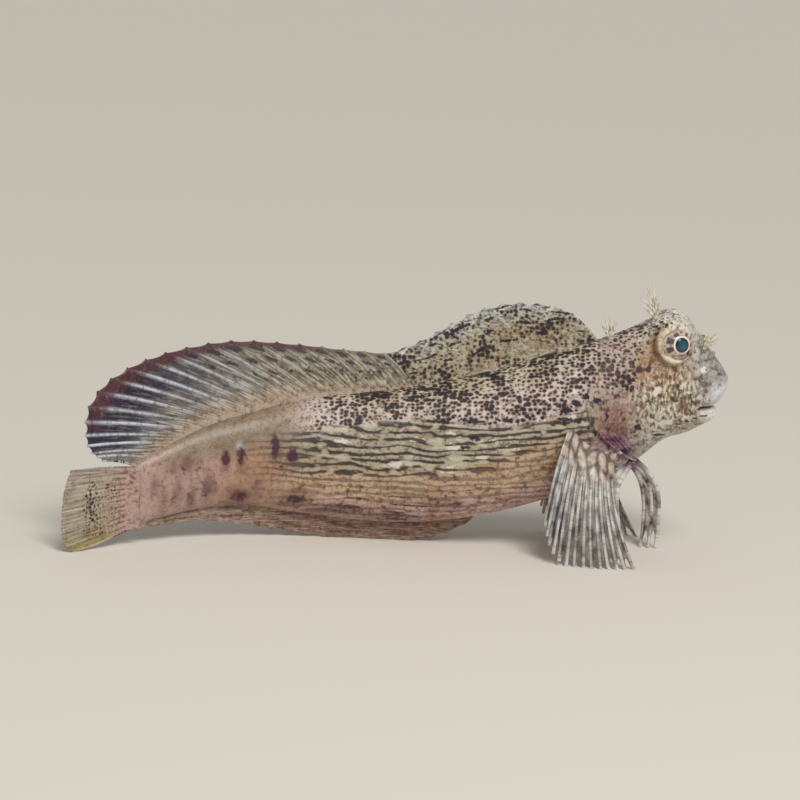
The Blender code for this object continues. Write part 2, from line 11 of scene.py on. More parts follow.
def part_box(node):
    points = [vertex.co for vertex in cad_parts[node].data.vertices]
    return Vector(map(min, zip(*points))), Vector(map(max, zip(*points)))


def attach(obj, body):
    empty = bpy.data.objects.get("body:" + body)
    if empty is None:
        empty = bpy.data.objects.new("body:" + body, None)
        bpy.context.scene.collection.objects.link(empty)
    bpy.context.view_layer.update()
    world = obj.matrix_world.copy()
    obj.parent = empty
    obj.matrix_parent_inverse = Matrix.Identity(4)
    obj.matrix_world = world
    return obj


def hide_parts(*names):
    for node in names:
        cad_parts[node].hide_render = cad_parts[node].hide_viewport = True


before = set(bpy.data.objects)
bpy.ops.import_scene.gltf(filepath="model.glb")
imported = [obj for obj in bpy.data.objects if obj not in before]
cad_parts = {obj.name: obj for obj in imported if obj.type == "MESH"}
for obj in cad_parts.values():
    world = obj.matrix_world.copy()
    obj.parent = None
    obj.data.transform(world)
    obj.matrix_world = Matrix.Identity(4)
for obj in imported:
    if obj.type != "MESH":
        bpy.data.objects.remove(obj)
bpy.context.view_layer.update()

# Sizes are in millimetres. The fish is shaped straight, as u back from the snout, n to its left and z above
# the floor. Each finished mesh is then bent, set over the solids and scaled to metres.
MM = 0.001
TAU = 2 * pi

# The bend: which way the body heads, seen from above, at the head and at the tail.
HEAD_HEADING = radians(-9.0)
TAIL_HEADING = radians(38.0)
HEAD_BEND_END = 34.0
TAIL_BEND_START = 56.0
TAIL_BEND_END = 114.0
STRAIGHT_U = 45.0

# Camera: height above the horizon, turn about its own axis, distance, and what it looks at on the fish.
CAMERA_RISE = radians(10.0)
CAMERA_ROLL = radians(2.9)
CAMERA_DISTANCE = 500.0
CAMERA_TARGET = np.array([-59.0, 0.0, 25.6])
CAMERA_LENS = 125.7
CAMERA_NEAR = 0.01
SENSOR = 36.0

# Stage, in metres: a pale floor a hair under the fish, an even room, a broad key light and a small lamp that
# puts a gleam in the eye.
FLOOR_HALF = 6.0
FLOOR_DROP = -0.00002
FLOOR_COLOUR = "#ddd7cd"
FLOOR_ROUGHNESS = 0.85
ROOM_COLOUR = "#e4e3e2"
ROOM_STRENGTH = 0.46
KEY_COLOUR = "#fffbf5"
KEY_STRENGTH = 1.62
KEY_BREADTH = radians(24.0)
KEY_WAY = (-0.22, 0.62, -0.78)
GLEAM_POWER = 0.9
GLEAM_SIZE = 0.16
GLEAM_SPOT = (0.18, -0.42, 0.40)
GLEAM_TARGET = (0.0, 0.0, 0.02)

# Rings round the body: top u, z; bottom u, z; half width; sweep of the flanks back; fullness below.
BODY_RINGS = np.array([
    (4.7, 28.10, 4.7, 27.88, 3.7, 3.0, 0.0),
    (3.1, 28.32, 3.3, 27.74, 4.5, 3.4, 0.0),
    (2.2, 29.15, 2.7, 26.95, 5.0, 3.6, 0.0),
    (1.4, 30.80, 2.95, 25.75, 5.3, 3.7, 0.0),
    (1.0, 32.60, 4.1, 24.85, 5.6, 3.8, 0.0),
    (1.8, 34.40, 5.4, 24.15, 5.5, 3.9, 0.0),
    (3.0, 36.00, 7.1, 23.10, 5.8, 4.0, 0.05),
    (4.8, 38.20, 8.9, 22.35, 6.1, 4.2, 0.10),
    (6.4, 40.40, 10.7, 21.75, 6.3, 4.3, 0.15),
    (8.3, 42.00, 12.2, 20.80, 6.5, 4.5, 0.18),
    (10.5, 43.00, 13.4, 19.80, 6.7, 4.7, 0.20),
    (12.9, 43.30, 14.3, 18.90, 6.9, 5.0, 0.20),
    (15.2, 42.70, 15.1, 18.20, 7.1, 5.4, 0.18),
    (17.6, 41.40, 15.7, 17.60, 7.3, 5.8, 0.15),
    (20.4, 40.00, 16.1, 17.30, 7.6, 6.1, 0.10),
    (23.6, 38.70, 16.4, 17.00, 7.9, 6.3, 0.05),
    (26.0, 37.90, 18.6, 15.70, 7.8, 6.0, 0.05),
    (29.0, 36.90, 22.6, 13.40, 7.8, 5.0, 0.0),
    (32.7, 35.60, 28.0, 10.80, 7.9, 3.2, 0.0),
    (38.0, 33.60, 35.5, 7.90, 8.0, 1.4, 0.0),
    (44.4, 31.50, 43.7, 5.50, 7.9, 0.3, 0.0),
    (50.5, 29.80, 50.9, 4.20, 7.6, 0.0, 0.0),
    (57.0, 28.20, 58.1, 3.50, 7.1, 0.0, 0.0),
    (64.6, 26.90, 65.0, 3.50, 6.4, 0.0, 0.0),
    (72.3, 25.80, 72.3, 4.10, 5.6, 0.0, 0.0),
    (79.3, 24.60, 79.3, 4.90, 4.8, 0.0, 0.0),
    (85.8, 22.80, 86.6, 6.00, 4.0, 0.0, 0.0),
    (93.2, 20.90, 94.0, 5.70, 3.2, 0.0, 0.0),
    (99.0, 18.70, 100.0, 5.00, 2.6, 0.0, 0.0),
    (104.8, 16.00, 104.8, 4.20, 2.0, 0.0, 0.0),
    (108.3, 13.80, 108.3, 3.40, 1.5, 0.0, 0.0),
])
GILL_RING = 15
LAST_RING = len(BODY_RINGS) - 1
SWEEP_SKEW = 1.3
FLANK_POWER = 0.88
WEDGE_START = 28.2

# The skin's mesh: points round a ring, and rows of points between two rings.
SKIN_SIDES = 248
HEAD_STEPS = 14
BODY_STEPS = 12

# Steps along the way out of the plain head in which its finished surface is looked for.
SEARCH_OUT = 4.2
SEARCH_IN = -2.6
SEARCH_STEP = 0.12

# Fine forms of the skin: the step behind the gill cover and its raised edge, the folds of the throat, and the
# crease and the swelling of the upper lip. The folds are counted in rings.
GILL_STEP = 0.5
GILL_EDGE = 0.12
FOLD_PITCH = 0.62
FOLD_DEPTH = 0.07
LIP_CREASE_RING = 4.95
LIP_CREASE = 0.05
LIP_SWELLING = 0.10

# Eyes: an iris sunk into the ball, a domed lens and a groove round it. Slopes are the distances from the axis
# at which a form starts and is full. The lens starts a little outside its radius and is full further in.
EYE = np.array([10.6, 4.3, 39.0])
EYE_RADIUS = 3.1
EYE_RINGS = 72
EYE_SEGMENTS = 96
LENS_RADIUS = 1.42
LENS_HEIGHT = 0.22
LENS_START = 0.08
LENS_FULL = 0.27
IRIS_DEPTH = 0.10
IRIS_SLOPE = (2.9, 2.2)
GROOVE_DEPTH = 0.14
GROOVE_WIDTH = 0.12
GAZE_FORWARD = radians(28.0)
GAZE_UP = radians(6.0)

# The rim round each eye, the brow over it with its knobs, the socket behind it and the nostrils. The rim is
# thickest at its lower rear. Smoothings are the widths over which a form runs into the head.
RIM_RADIUS = 3.12
RIM_THICKNESS = 0.56
RIM_OUT = 1.35
RIM_FORWARD = radians(10.0)
RIM_UP = radians(10.0)
REARWARD = 0.87
DOWNWARD = 0.5
CREASE_OUT = 1.05
COLLAR_SMOOTHING = 0.9
CREASE_SMOOTHING = 0.35
RIM_SMOOTHING = 0.25
BROW_DOME = np.array([11.8, 2.7, 40.4])
BROW_DOME_RADIUS = 3.9
BROW_SMOOTHING = 1.4
KNOB_HEIGHT = 0.13
SOCKET_GAP = 0.02
SOCKET_BACKING = 0.20
SOCKET_SMOOTHING = 0.05
NOSTRILS = ((4.4, 2.6, 36.6), (6.4, 3.2, 39.4))
NOSTRIL_WAY = np.array([-0.755, 0.554, 0.352])
NOSTRIL_RADIUS = 0.46
NOSTRIL_BORE = 0.22
FUNNEL_SMOOTHING = 0.3
BORE_SMOOTHING = 0.08


class FinShape(NamedTuple):
    """How a fin is built, in millimetres, or in shares of a ray's length."""
    rays: int
    rows: int = 48  # points of the film along a ray
    notch: float = 0.03  # share that the film lacks between two ray tips
    film: float = 0.14  # its thickness
    root: float = 1.1  # its thickness at the body
    thinning: float = 0.16  # share over which it thins from there
    ray_width: float = 0.6  # at the body
    taper: float = 0.6  # width of a ray's tip for each millimetre at the body
    flatness: float = 0.6  # thickness of a ray for each millimetre of width
    forks: float = 0.0  # how far a ray's two tips part, as a share of the way to the next ray


# Fins: how each is built, where it stands on the body, its edge, and how its rays bow.
SPINY = FinShape(rays=12, notch=0.045, film=0.24, ray_width=0.5, taper=0.5)
SOFT = FinShape(rays=22, rows=56, notch=0.022, ray_width=0.55, taper=0.9, flatness=0.45)
ANAL = FinShape(rays=20, rows=26, notch=0.09, ray_width=0.45, taper=0.5, flatness=0.4)
CAUDAL = FinShape(rays=13, notch=0.012, root=2.6, ray_width=0.46, taper=0.5, flatness=0.45, forks=0.25)
PECTORAL = FinShape(rays=14, rows=52, notch=0.09, root=1.9, thinning=0.34, ray_width=0.85, taper=0.8,
                    flatness=0.34)
PELVIC = FinShape(rays=3, notch=0.2, film=0.4, root=1.3, ray_width=1.1, taper=0.5, flatness=0.75)
COLUMNS_PER_RAY = 10
RAY_POINTS = 44
STRAND_SIDES = 8
FILM_SLACK = 0.10
ROOT_SUNK = 1.0
DORSAL_START = 24.2
DORSAL_SPLIT = 56.4
DORSAL_END = 107.0
DORSAL_BOW = np.array([-0.8, 0.0, 0.8])
SPINY_EDGE = np.array([
    (29.4, 42.8), (32.4, 44.0), (36.5, 44.4), (41.5, 44.0),
    (46.5, 42.4), (52.0, 39.2), (57.0, 36.1), (62.1, 33.9),
])
SOFT_EDGE = np.array([
    (62.55, 33.9), (71.0, 34.4), (80.5, 35.2), (90.0, 35.6), (99.0, 34.6), (107.0, 32.8), (113.6, 30.0),
    (117.6, 26.2), (118.6, 21.6), (117.6, 17.8), (114.9, 15.7),
])
SOFT_CROWDING = 0.13
ANAL_START = 44.5
ANAL_END = 103.5
ANAL_BOW = np.array([-0.5, 0.0, -0.3])
ANAL_EDGE = np.array([
    (46.6, 3.4), (50.0, 1.5), (55.0, 0.0), (61.0, -0.6),
    (68.5, -0.5), (77.0, 0.6), (87.0, 2.2), (97.0, 3.2), (107.3, 2.7),
])
CAUDAL_EDGE = np.array([(121.2, 14.4), (122.4, 10.6), (122.7, 6.0), (122.4, 2.2), (120.6, -0.4)])
CAUDAL_SUNK = 0.6
PECTORAL_ROOT = np.array([(28.4, 6.2, 23.8), (26.6, 5.8, 21.4), (23.6, 5.0, 19.6), (20.2, 4.0, 18.6)])
PECTORAL_EDGE = np.array([
    (32.6, 12.0, 6.4), (31.2, 13.4, 2.4), (28.2, 14.2, -0.3), (24.6, 14.8, -0.6), (20.9, 14.8, -0.6),
    (17.8, 14.3, -0.5), (15.3, 13.4, -0.4),
])
PECTORAL_BOW = np.array([0.6, 3.4, 3.4])
PECTORAL_FRONT_BOW = np.array([4.0, 0.0, 0.0])
PELVIC_ROOT_WIDTH = 1.5
PELVIC_WIDTH = 2.6
PELVIC_PATHS = {
    "right": np.array([
        (17.6, 1.7, 17.0), (19.7, 3.0, 14.3), (20.7, 3.8, 11.6), (20.2, 4.5, 6.4), (18.4, 5.0, -0.5),
    ]),
    "left": np.array([
        (17.6, 1.7, 17.0), (14.9, 2.9, 14.0), (13.5, 3.7, 10.8), (13.0, 4.3, 6.0), (13.3, 4.7, -0.5),
    ]),
}

# Tufts of skin: where each stands, and where its filaments end.
TUFTS = {
    "brow": ((14.2, 3.2, 43.0), ((17.4, 4.0, 45.8), (16.3, 3.6, 47.6), (15.4, 3.1, 48.5), (13.8, 3.5, 46.3))),
    "nose": ((5.6, 2.5, 38.2), ((4.6, 2.9, 40.9), (3.7, 2.6, 40.5), (3.2, 2.4, 39.6))),
    "nape": ((22.1, 1.8, 38.5), ((24.0, 2.6, 41.2), (23.4, 2.2, 42.0), (22.6, 1.8, 42.3), (21.3, 2.0, 42.0))),
}
TUFT_BOW = np.array([0.25, 0.3, 0.25])
TUFT_ROOT_RADIUS = 0.30
TUFT_TIP_RADIUS = 0.09
TUFT_POINTS = 16

# Dark dots: their spacing, how far noise moves them off their places, and how their size goes with the paint,
# with the noise that crowds them and with chance. A step across the body counts for less than one down it.
DOT_SPACING = 0.93
DOT_WOBBLE = 0.55
DOT_RANDOMNESS = 0.72
DOT_SIZES = (-1.20, -0.52)
DOT_CROWDING = 1.30
DOT_VARIATION = 0.18
SIDEWAYS_SHARE = 0.8

# Larger spots on the side of the head: how many to a millimetre, and their size without and with full paint.
SPOT_WAVES = 0.46
SPOT_RANDOMNESS = 0.9
SPOT_SIZES = (-0.10, 0.30)

# Dark lines on the flank: their pitch, how they rise towards the gill cover, and in pitches how far noise
# moves them and how wide they are where another noise is low and high. They are counted from COUNT_FROM down.
LINE_PITCH = 1.28
LINE_RISE = 0.0033
LINE_RISE_FROM = 58.0
LINE_SWAY = 2.2
LINE_RIPPLE = 0.55
LINE_WIDTHS = (0.07, 0.25)
LINE_BREAKS = (0.34, 0.68)
COUNT_FROM = 60.0

# Light strokes: how many to a millimetre along the body, across it and up.
STROKE_WAVES = (1.9, 1.1, 0.95)

# How fast a stain fades from its middle, and how much noise counts beside its paint, which gives its edge.
STAIN_FALL = 1.4
STAIN_RAGGEDNESS = 1.5

# How low the dots reach on the flank and then the dark lines, as (u, z), with only fine lines further down.
DOTS_END = np.array([(24.0, 27.5), (33.0, 24.5), (38.0, 23.3), (55.0, 23.2), (70.0, 21.4), (82.0, 19.2)])
LINES_END = np.array([(30.0, 21.0), (37.5, 18.2), (44.4, 15.2), (54.0, 13.6), (70.0, 12.6), (85.0, 12.0)])

# Ground colours of the skin.
SANDY = "#aaa08d"
PALE_BROW = "#d6d4c9"
SNOUT_GREY = "#989591"
PINK_CREAM = "#c8b8b2"
NAPE_BROWN = "#b4a199"
GREEN_CREAM = "#bdb6a2"
OLIVE_CREAM = "#a89f8c"
TAN_PINK = "#bda286"
# The belly's rosy colour, painted lighter than it is as painted light against the shade under the body.
ROSY_BELLY_AND_LIGHT = "#d2b1a9"
RUSTY_FLANK = "#ad8b74"
# The drab colour of the upper back towards the tail, painted darker than it is as painted shade against the
# light on top.
DRAB_BACK_AND_SHADE = "#867662"
FIN_BASE = "#ab9986"
MAUVE_STALK = "#b1958c"
GILL_PINK = "#936f69"
PURPLE_BAND = "#6f4260"
# The upper lip's pale lavender, with a painted highlight along the front of the lip roll.
LAVENDER_AND_HIGHLIGHT = "#d6d5dc"
THROAT = "#c2bdb5"
LIP_WHITE = "#e2e1de"
WARM_ORANGE = "#a67c50"
# Painted shade in the slit where the closed lips meet.
MOUTH_SLIT_SHADE = "#3b2a30"
RIM_CREAM = "#d8c8b2"
UNDER_RIM = "#84583a"
SOCKET_BROWN = "#a98f7a"
MAUVE_BAR = "#694345"
BLUISH = "#aebbbf"

# Ground colours of the fins and the tufts.
SPINY_CREAM = "#a69f88"
SPINY_MARGIN = "#aeb6b8"
SPINY_FOOT = "#a99a85"
SPINE_LIGHT = "#c6c4b2"
SOFT_RAY = "#a5a191"
SOFT_FILM = "#7d7a68"
SILVER_RAY = "#c9cedb"
SILVER_EDGE = "#aeb6c8"
SMOKE = "#74767c"
NAVY_GAP = "#15193a"
WINE_RAY = "#5f3744"
WINE_FILM = "#502a37"
ANAL_BROWN = "#94786a"
ANAL_REAR = "#a89883"
ANAL_STREAK = "#5a3c3c"
ANAL_RAY = "#b3a08f"
CAUDAL_BEIGE = "#aa9f8b"
CAUDAL_LOWER = "#9d9160"
CAUDAL_UPPER = "#a8958e"
CAUDAL_RAY = "#b9b09a"
PECTORAL_RAY = "#bfbdb9"
PECTORAL_FILM = "#8a857e"
PECTORAL_FOOT = "#6f5e56"
PECTORAL_OVAL = "#beb3a7"
PECTORAL_SPOT = "#3b3034"
# Painted shadow in the gaps between the pectoral fin's rays near its edge.
SLATE_GAP_SHADOW = "#20273e"
PELVIC_PALE = "#d6d2cd"
PELVIC_ROOT = "#96769a"
PELVIC_FILM = "#8d827c"
PELVIC_SPOT = "#221c2c"
TUFT_CREAM = "#ddd7c6"
TUFT_BAND = "#6d6152"

# Rows of marks on the fins, by their share of the way to the edge. Spiny fin: shift and thickness of the dark
# marks. Soft fin: place between two rays and strength of the dashes. Pectoral fin: strength of the spots.
# Pelvic fin: side and length of the spots.
SPINY_MARKS = ((0.96, 0.0, 0.022), (0.84, 0.45, 0.035), (0.64, 0.15, 0.030), (0.42, 0.6, 0.030))
SOFT_DASHES = ((0.86, 0.42, 1.0), (0.66, 0.55, 0.8), (0.46, 0.48, 0.6))
PECTORAL_SPOTS = ((0.45, 0.6), (0.58, 0.9), (0.72, 1.0), (0.86, 0.9))
PELVIC_SPOTS = (
    (0.05, 0.4, 0.03), (0.13, 0.9, 0.03), (0.28, 0.5, 0.07), (0.36, 0.9, 0.04),
    (0.49, 0.15, 0.07), (0.52, 0.75, 0.05), (0.71, 0.45, 0.08), (0.80, 0.9, 0.07),
)

# Stains on each flank, as (u, z, length, height, strength). Dots crowd together in the saddles, and the bars
# are soft and lie low on the tail stalk.
SADDLES = (
    (33.0, 34.6, 3.2, 1.8, 1.0), (44.6, 31.0, 4.2, 1.6, 1.0), (55.2, 27.9, 4.4, 1.5, 1.0),
    (64.8, 26.6, 3.6, 1.3, 0.9), (72.8, 25.4, 3.0, 1.2, 0.8), (38.6, 28.6, 2.4, 1.6, 0.7),
    (49.6, 27.0, 2.8, 1.4, 0.6), (26.0, 33.6, 2.2, 1.8, 0.5),
)
BARS = (
    (98.9, 14.3, 1.5, 1.9, 0.7), (97.8, 8.2, 1.3, 3.2, 0.75), (100.6, 9.6, 1.2, 2.8, 0.6),
    (94.7, 10.0, 1.6, 3.6, 0.8), (108.6, 11.5, 1.2, 1.8, 0.8), (105.0, 10.9, 1.1, 2.0, 0.6),
    (103.2, 7.8, 1.0, 2.4, 0.6), (101.5, 13.6, 0.8, 1.4, 0.5), (88.5, 8.0, 3.4, 2.6, 0.8),
    (91.6, 14.6, 1.3, 2.6, 0.8), (88.8, 14.8, 1.2, 2.6, 0.7), (85.4, 9.6, 1.6, 2.2, 0.6),
    (82.0, 16.6, 1.4, 3.0, 0.7), (79.0, 15.0, 1.6, 2.4, 0.7), (78.0, 7.4, 4.0, 2.0, 0.8),
    (70.0, 5.8, 8.0, 1.6, 0.8), (60.0, 5.0, 8.0, 1.4, 0.7), (50.0, 8.2, 5.0, 1.6, 0.5),
)
NAVY_STAINS = (
    (33.0, 35.2, 1.6, 0.7, 0.85), (44.6, 31.4, 2.2, 0.6, 0.85), (55.2, 28.2, 2.2, 0.6, 0.85),
    (64.8, 26.9, 2.0, 0.5, 0.8), (72.8, 25.8, 1.8, 0.5, 0.7), (28.0, 28.0, 1.7, 0.9, 0.95),
    (26.5, 29.2, 1.4, 0.8, 0.9), (29.6, 26.6, 0.7, 0.9, 0.85), (30.0, 24.2, 0.6, 1.0, 0.8),
    (25.4, 28.2, 0.9, 0.7, 0.7), (29.8, 26.6, 2.4, 0.5, 0.9), (27.3, 24.9, 0.8, 0.9, 0.9),
    (24.2, 28.6, 1.4, 0.9, 0.7), (31.6, 27.6, 1.6, 0.5, 0.7), (40.5, 24.2, 3.0, 0.5, 0.85),
    (45.6, 20.8, 1.9, 0.8, 0.85), (47.2, 19.0, 1.3, 0.6, 0.85), (46.0, 23.7, 3.2, 0.4, 0.95),
    (52.0, 23.2, 4.0, 0.5, 0.8), (18.6, 19.5, 0.9, 0.7, 1.0), (16.4, 24.0, 1.0, 0.8, 0.9),
    (22.2, 25.9, 0.5, 0.9, 0.95), (12.6, 22.6, 1.8, 0.4, 0.8), (37.6, 26.4, 1.2, 0.8, 0.8),
    (41.0, 28.6, 1.6, 0.7, 0.7), (36.0, 31.8, 1.2, 0.7, 0.6), (24.2, 22.6, 0.7, 0.9, 0.8),
    (61.5, 24.9, 2.2, 0.5, 0.7), (29.6, 25.0, 2.2, 0.5, 0.9), (18.4, 32.0, 0.6, 0.9, 0.9),
    (57.0, 21.0, 3.6, 0.4, 0.7), (66.0, 22.8, 3.0, 0.4, 0.7), (4.7, 26.5, 0.8, 0.24, 1.0),
    (6.1, 26.05, 0.8, 0.26, 1.0), (7.6, 25.4, 0.7, 0.24, 0.9), (9.2, 24.8, 0.9, 0.26, 1.0),
    (16.6, 37.4, 1.0, 0.5, 0.8), (25.4, 23.6, 0.9, 0.7, 0.7),
)
MAROON_STAINS = (
    (82.2, 17.3, 0.95, 2.7, 1.2), (78.9, 15.8, 1.3, 1.7, 1.2), (91.6, 15.2, 1.1, 1.9, 1.1),
    (88.7, 15.7, 1.0, 1.9, 1.1), (88.4, 8.1, 2.6, 1.6, 0.8), (77.9, 7.6, 3.0, 1.4, 0.8),
    (22.6, 27.0, 1.8, 1.0, 0.7), (21.6, 24.0, 1.4, 0.9, 0.65), (20.4, 21.6, 2.6, 0.7, 0.8),
    (24.8, 25.0, 0.9, 1.3, 0.8), (18.0, 26.6, 0.9, 0.7, 0.7), (80.8, 13.8, 1.6, 0.4, 0.7),
    (97.0, 13.6, 0.9, 1.6, 0.62), (99.6, 13.2, 1.0, 1.6, 0.6), (103.6, 10.6, 1.2, 1.4, 0.6),
    (101.4, 8.2, 1.0, 2.2, 0.55), (95.6, 9.0, 1.2, 2.6, 0.55), (98.4, 8.8, 0.9, 2.0, 0.5),
    (68.0, 6.6, 6.0, 0.8, 0.7), (58.0, 5.4, 7.0, 0.7, 0.6), (93.0, 10.4, 1.0, 2.0, 0.5),
    (23.6, 28.4, 1.6, 1.0, 0.8), (20.6, 29.4, 1.2, 0.8, 0.7), (18.0, 31.1, 0.6, 0.9, 1.2),
    (16.2, 31.9, 0.4, 0.6, 1.1), (19.4, 32.8, 0.6, 0.7, 1.1), (21.9, 34.4, 0.5, 0.6, 1.0),
    (16.4, 29.5, 0.5, 0.5, 0.9), (15.6, 39.1, 0.6, 0.6, 1.0), (19.6, 37.3, 0.5, 0.6, 1.0),
    (15.2, 34.5, 0.75, 0.75, 1.2), (18.4, 35.5, 0.6, 0.6, 1.1), (21.2, 31.7, 0.6, 0.5, 1.0),
    (58.4, 9.2, 3.8, 0.3, 0.9), (56.0, 7.6, 6.5, 0.32, 1.0), (48.5, 8.3, 2.6, 0.3, 0.85),
    (59.2, 6.0, 3.0, 0.34, 1.0), (58.8, 4.5, 2.8, 0.4, 1.0), (66.0, 8.4, 4.0, 0.3, 0.9),
)
RUST_STAINS = (
    (8.5, 28.5, 1.2, 2.0, 1.0), (4.9, 32.3, 1.4, 1.0, 1.0), (6.3, 33.2, 1.4, 0.7, 0.9),
    (15.2, 34.4, 1.0, 1.0, 1.1), (14.6, 36.6, 1.0, 2.0, 0.8), (16.0, 27.6, 1.6, 1.0, 0.6),
    (19.6, 23.4, 2.6, 1.6, 0.7), (50.4, 20.6, 1.8, 0.6, 0.6), (12.5, 33.3, 3.4, 0.6, 0.8),
    (19.0, 30.0, 1.0, 1.0, 0.7), (10.6, 24.4, 2.2, 0.5, 0.8), (13.6, 23.2, 1.2, 0.5, 0.7),
)
PALE_STAINS = (
    (42.0, 20.4, 1.6, 0.6, 0.8), (49.8, 21.2, 1.3, 0.8, 0.9), (56.0, 19.8, 2.4, 0.7, 0.9),
    (59.4, 15.3, 2.2, 0.9, 0.95), (49.4, 19.0, 1.8, 0.9, 1.0), (44.3, 17.4, 1.8, 0.8, 0.95),
    (50.2, 14.8, 2.0, 0.9, 0.95), (28.6, 25.3, 0.9, 1.1, 1.2), (39.0, 19.6, 1.8, 0.8, 0.8),
    (70.0, 18.6, 2.4, 0.8, 0.8), (28.7, 30.1, 1.1, 0.55, 0.9), (11.6, 24.8, 1.8, 1.3, 0.9),
    (19.4, 19.0, 0.7, 0.6, 0.9), (28.4, 33.0, 1.2, 0.8, 0.5), (49.0, 27.4, 1.4, 0.8, 0.6),
    (34.0, 24.6, 2.0, 0.7, 0.7), (7.0, 26.2, 1.6, 0.7, 0.8), (13.4, 30.6, 1.2, 1.2, 0.8),
    (5.4, 34.8, 1.2, 0.8, 0.7),
)

# The paint on the skin's points, four numbers to an attribute, and the three attributes that hold places.
GROUND = ("red", "green", "blue")
CHANNELS = {
    "ground": (*GROUND, "blocks"),
    "pattern": ("dots", "lines", "spots", "mottle"),
    "marks": ("navy", "maroon", "rust", "pale"),
    "touch": ("flecks", "gloss", "film", "flow"),
}
PLACES = ("place", "lattice", "weave")

# Noise that the finishes share: the attribute it lies in, its waves to a millimetre each way, its detail and
# its roughness.
NOISES = {
    "cells": ("place", (0.95, 0.95, 0.95), 4.0, 0.62),
    "grains": ("place", (2.3, 2.3, 2.3), 2.0, 0.55),
    "patches": ("place", (0.16, 0.16, 0.22), 2.0, 0.5),
    "ragged": ("place", (1.5, 1.5, 1.5), 3.0, 0.6),
    "strokes": ("weave", (1.0, 1.0, 1.0), 2.0, 0.5),
    "blocks": ("place", (0.34, 0.34, 0.85), 1.0, 0.4),
    "sway": ("place", (0.10, 0.10, 0.35), 2.0, 0.5),
    "ripple": ("place", (0.55, 0.30, 0.90), 2.0, 0.5),
    "breaks": ("place", (0.22, 0.10, 0.90), 2.0, 0.5),
    "crowd": ("place", (0.32, 0.32, 0.32), 2.0, 0.5),
    "wobble": ("lattice", (0.7, 0.7, 0.7), 2.0, 0.5),
}

# Layers of the skin from the ground up: pattern, where it starts and is full, strength, the paint that says
# where it shows, how it is laid on, and its colour.
SKIN_LAYERS = (
    ("patches", 0.48, 0.66, 0.60, "mottle", "MULTIPLY", "#d6bd98"),
    ("cells", 0.50, 0.35, 0.90, "mottle", "MULTIPLY", "#83705b"),
    ("cells", 0.54, 0.70, 0.85, "mottle", "SCREEN", "#6b6557"),
    ("grains", 0.54, 0.68, 0.75, "mottle", "MULTIPLY", "#94806c"),
    ("grains", 0.45, 0.32, 0.60, "mottle", "SCREEN", "#55503f"),
    ("strokes", 0.50, 0.64, 0.85, "flecks", "MIX", "#d8d3c5"),
    ("strokes", 0.48, 0.37, 0.85, "flecks", "MULTIPLY", "#8d7f6c"),
    ("pale", 1.11, 1.37, 0.85, None, "MIX", "#dad5c8"),
    ("lines", -0.22, 0.02, 0.50, "lines", "MULTIPLY", "#8a7a6c"),
    ("lines", -0.08, 0.02, 0.86, "lines", "MIX", "#2b2527"),
    ("blocks", 0.55, 0.68, 0.70, "blocks", "MIX", "#c6c0ab"),
    ("dots", -0.34, -0.03, 0.88, None, "MULTIPLY", "#806a5d"),
    ("dots", -0.06, 0.04, 0.94, None, "MIX", "#251c23"),
    ("spots", -0.05, 0.04, 0.92, None, "MIX", "#452522"),
    ("rust", 1.02, 1.62, 0.78, None, "MIX", "#5f3d2b"),
    ("maroon", 1.04, 1.56, 0.92, None, "MIX", "#40212c"),
    ("navy", 1.17, 1.37, 0.95, None, "MIX", "#1f1a2b"),
)

# Wet skin: light goes about a millimetre in and comes out warmer, and a thin coat of slime gives soft lights.
# Roughness goes from dry to moist skin, and grain is raised a tenth of a millimetre.
SKIN_SHADER = {
    "Subsurface Weight": 0.12, "Subsurface Scale": 0.0012, "Subsurface Radius": (1.0, 0.45, 0.3),
    "Coat Weight": 0.18, "Coat Roughness": 0.22, "IOR": 1.4,
}
SKIN_ROUGHNESS = (0.52, 0.34)
GRAIN_HEIGHT = 0.0001
GRAIN_ON_BODY = 0.55
GRAIN_ON_RAYS = 0.35
GRAIN_ON_FILM = 0.25

# The eye under its clear cornea.
EYE_SHADER = {"Roughness": 0.22, "Coat Weight": 1.0, "Coat Roughness": 0.03, "IOR": 1.38}
EYE_GRAIN = {"Scale": 2.6, "Detail": 3.0}

# Layers of the eye, the same way as those of the skin.
EYE_LAYERS = (
    ("grain", 0.46, 0.66, 0.9, None, "MULTIPLY", "#b7a294"),
    ("grain", 0.44, 0.32, 0.7, None, "SCREEN", "#4a463f"),
    ("reach", 1.68, 1.60, 1.0, None, "MIX", "#e6e3dc"),
    ("reach", 1.40, 1.33, 1.0, None, "MIX", "#0b1d26"),
    ("reach", 1.15, 0.45, 0.8, None, "MIX", "#135464"),
)

# Patches of the iris: angle in degrees from behind over the top, half width, inner and outer radius, colour.
IRIS_PALE = "#cdbcb0"
IRIS_EDGE = "#d9cfbd"
IRIS_EDGE_SLOPE = (2.66, 2.86)
IRIS_PATCHES = (
    (18, 15, 1.7, 2.70, "#55535e"), (62, 15, 1.7, 2.35, "#4f4c57"), (92, 8, 2.1, 2.75, "#7c5a5c"),
    (122, 9, 1.9, 2.60, "#5d5560"), (152, 7, 2.1, 2.60, "#8b6d6a"), (181, 10, 1.7, 2.30, "#6a4450"),
    (222, 13, 1.7, 2.50, "#4c2f3c"), (262, 20, 1.7, 2.20, "#93707a"), (300, 8, 2.1, 2.60, "#b08b84"),
    (337, 13, 1.7, 2.70, "#5a2731"),
)


def smooth_step(t):
    """Rises gently from 0 to 1."""
    t = np.clip(t, 0.0, 1.0)
    return t * t * (3 - 2 * t)


def rise(value, start, end):
    """0 before start and 1 after end, with a gentle rise between; the other way round if end is lower."""
    return smooth_step((value - start) / (end - start))


def bump_at(value, middle, width):
    """1 at the middle, falling to near 0 a width and a half away."""
    return np.exp(-((value - middle) / width) ** 2)


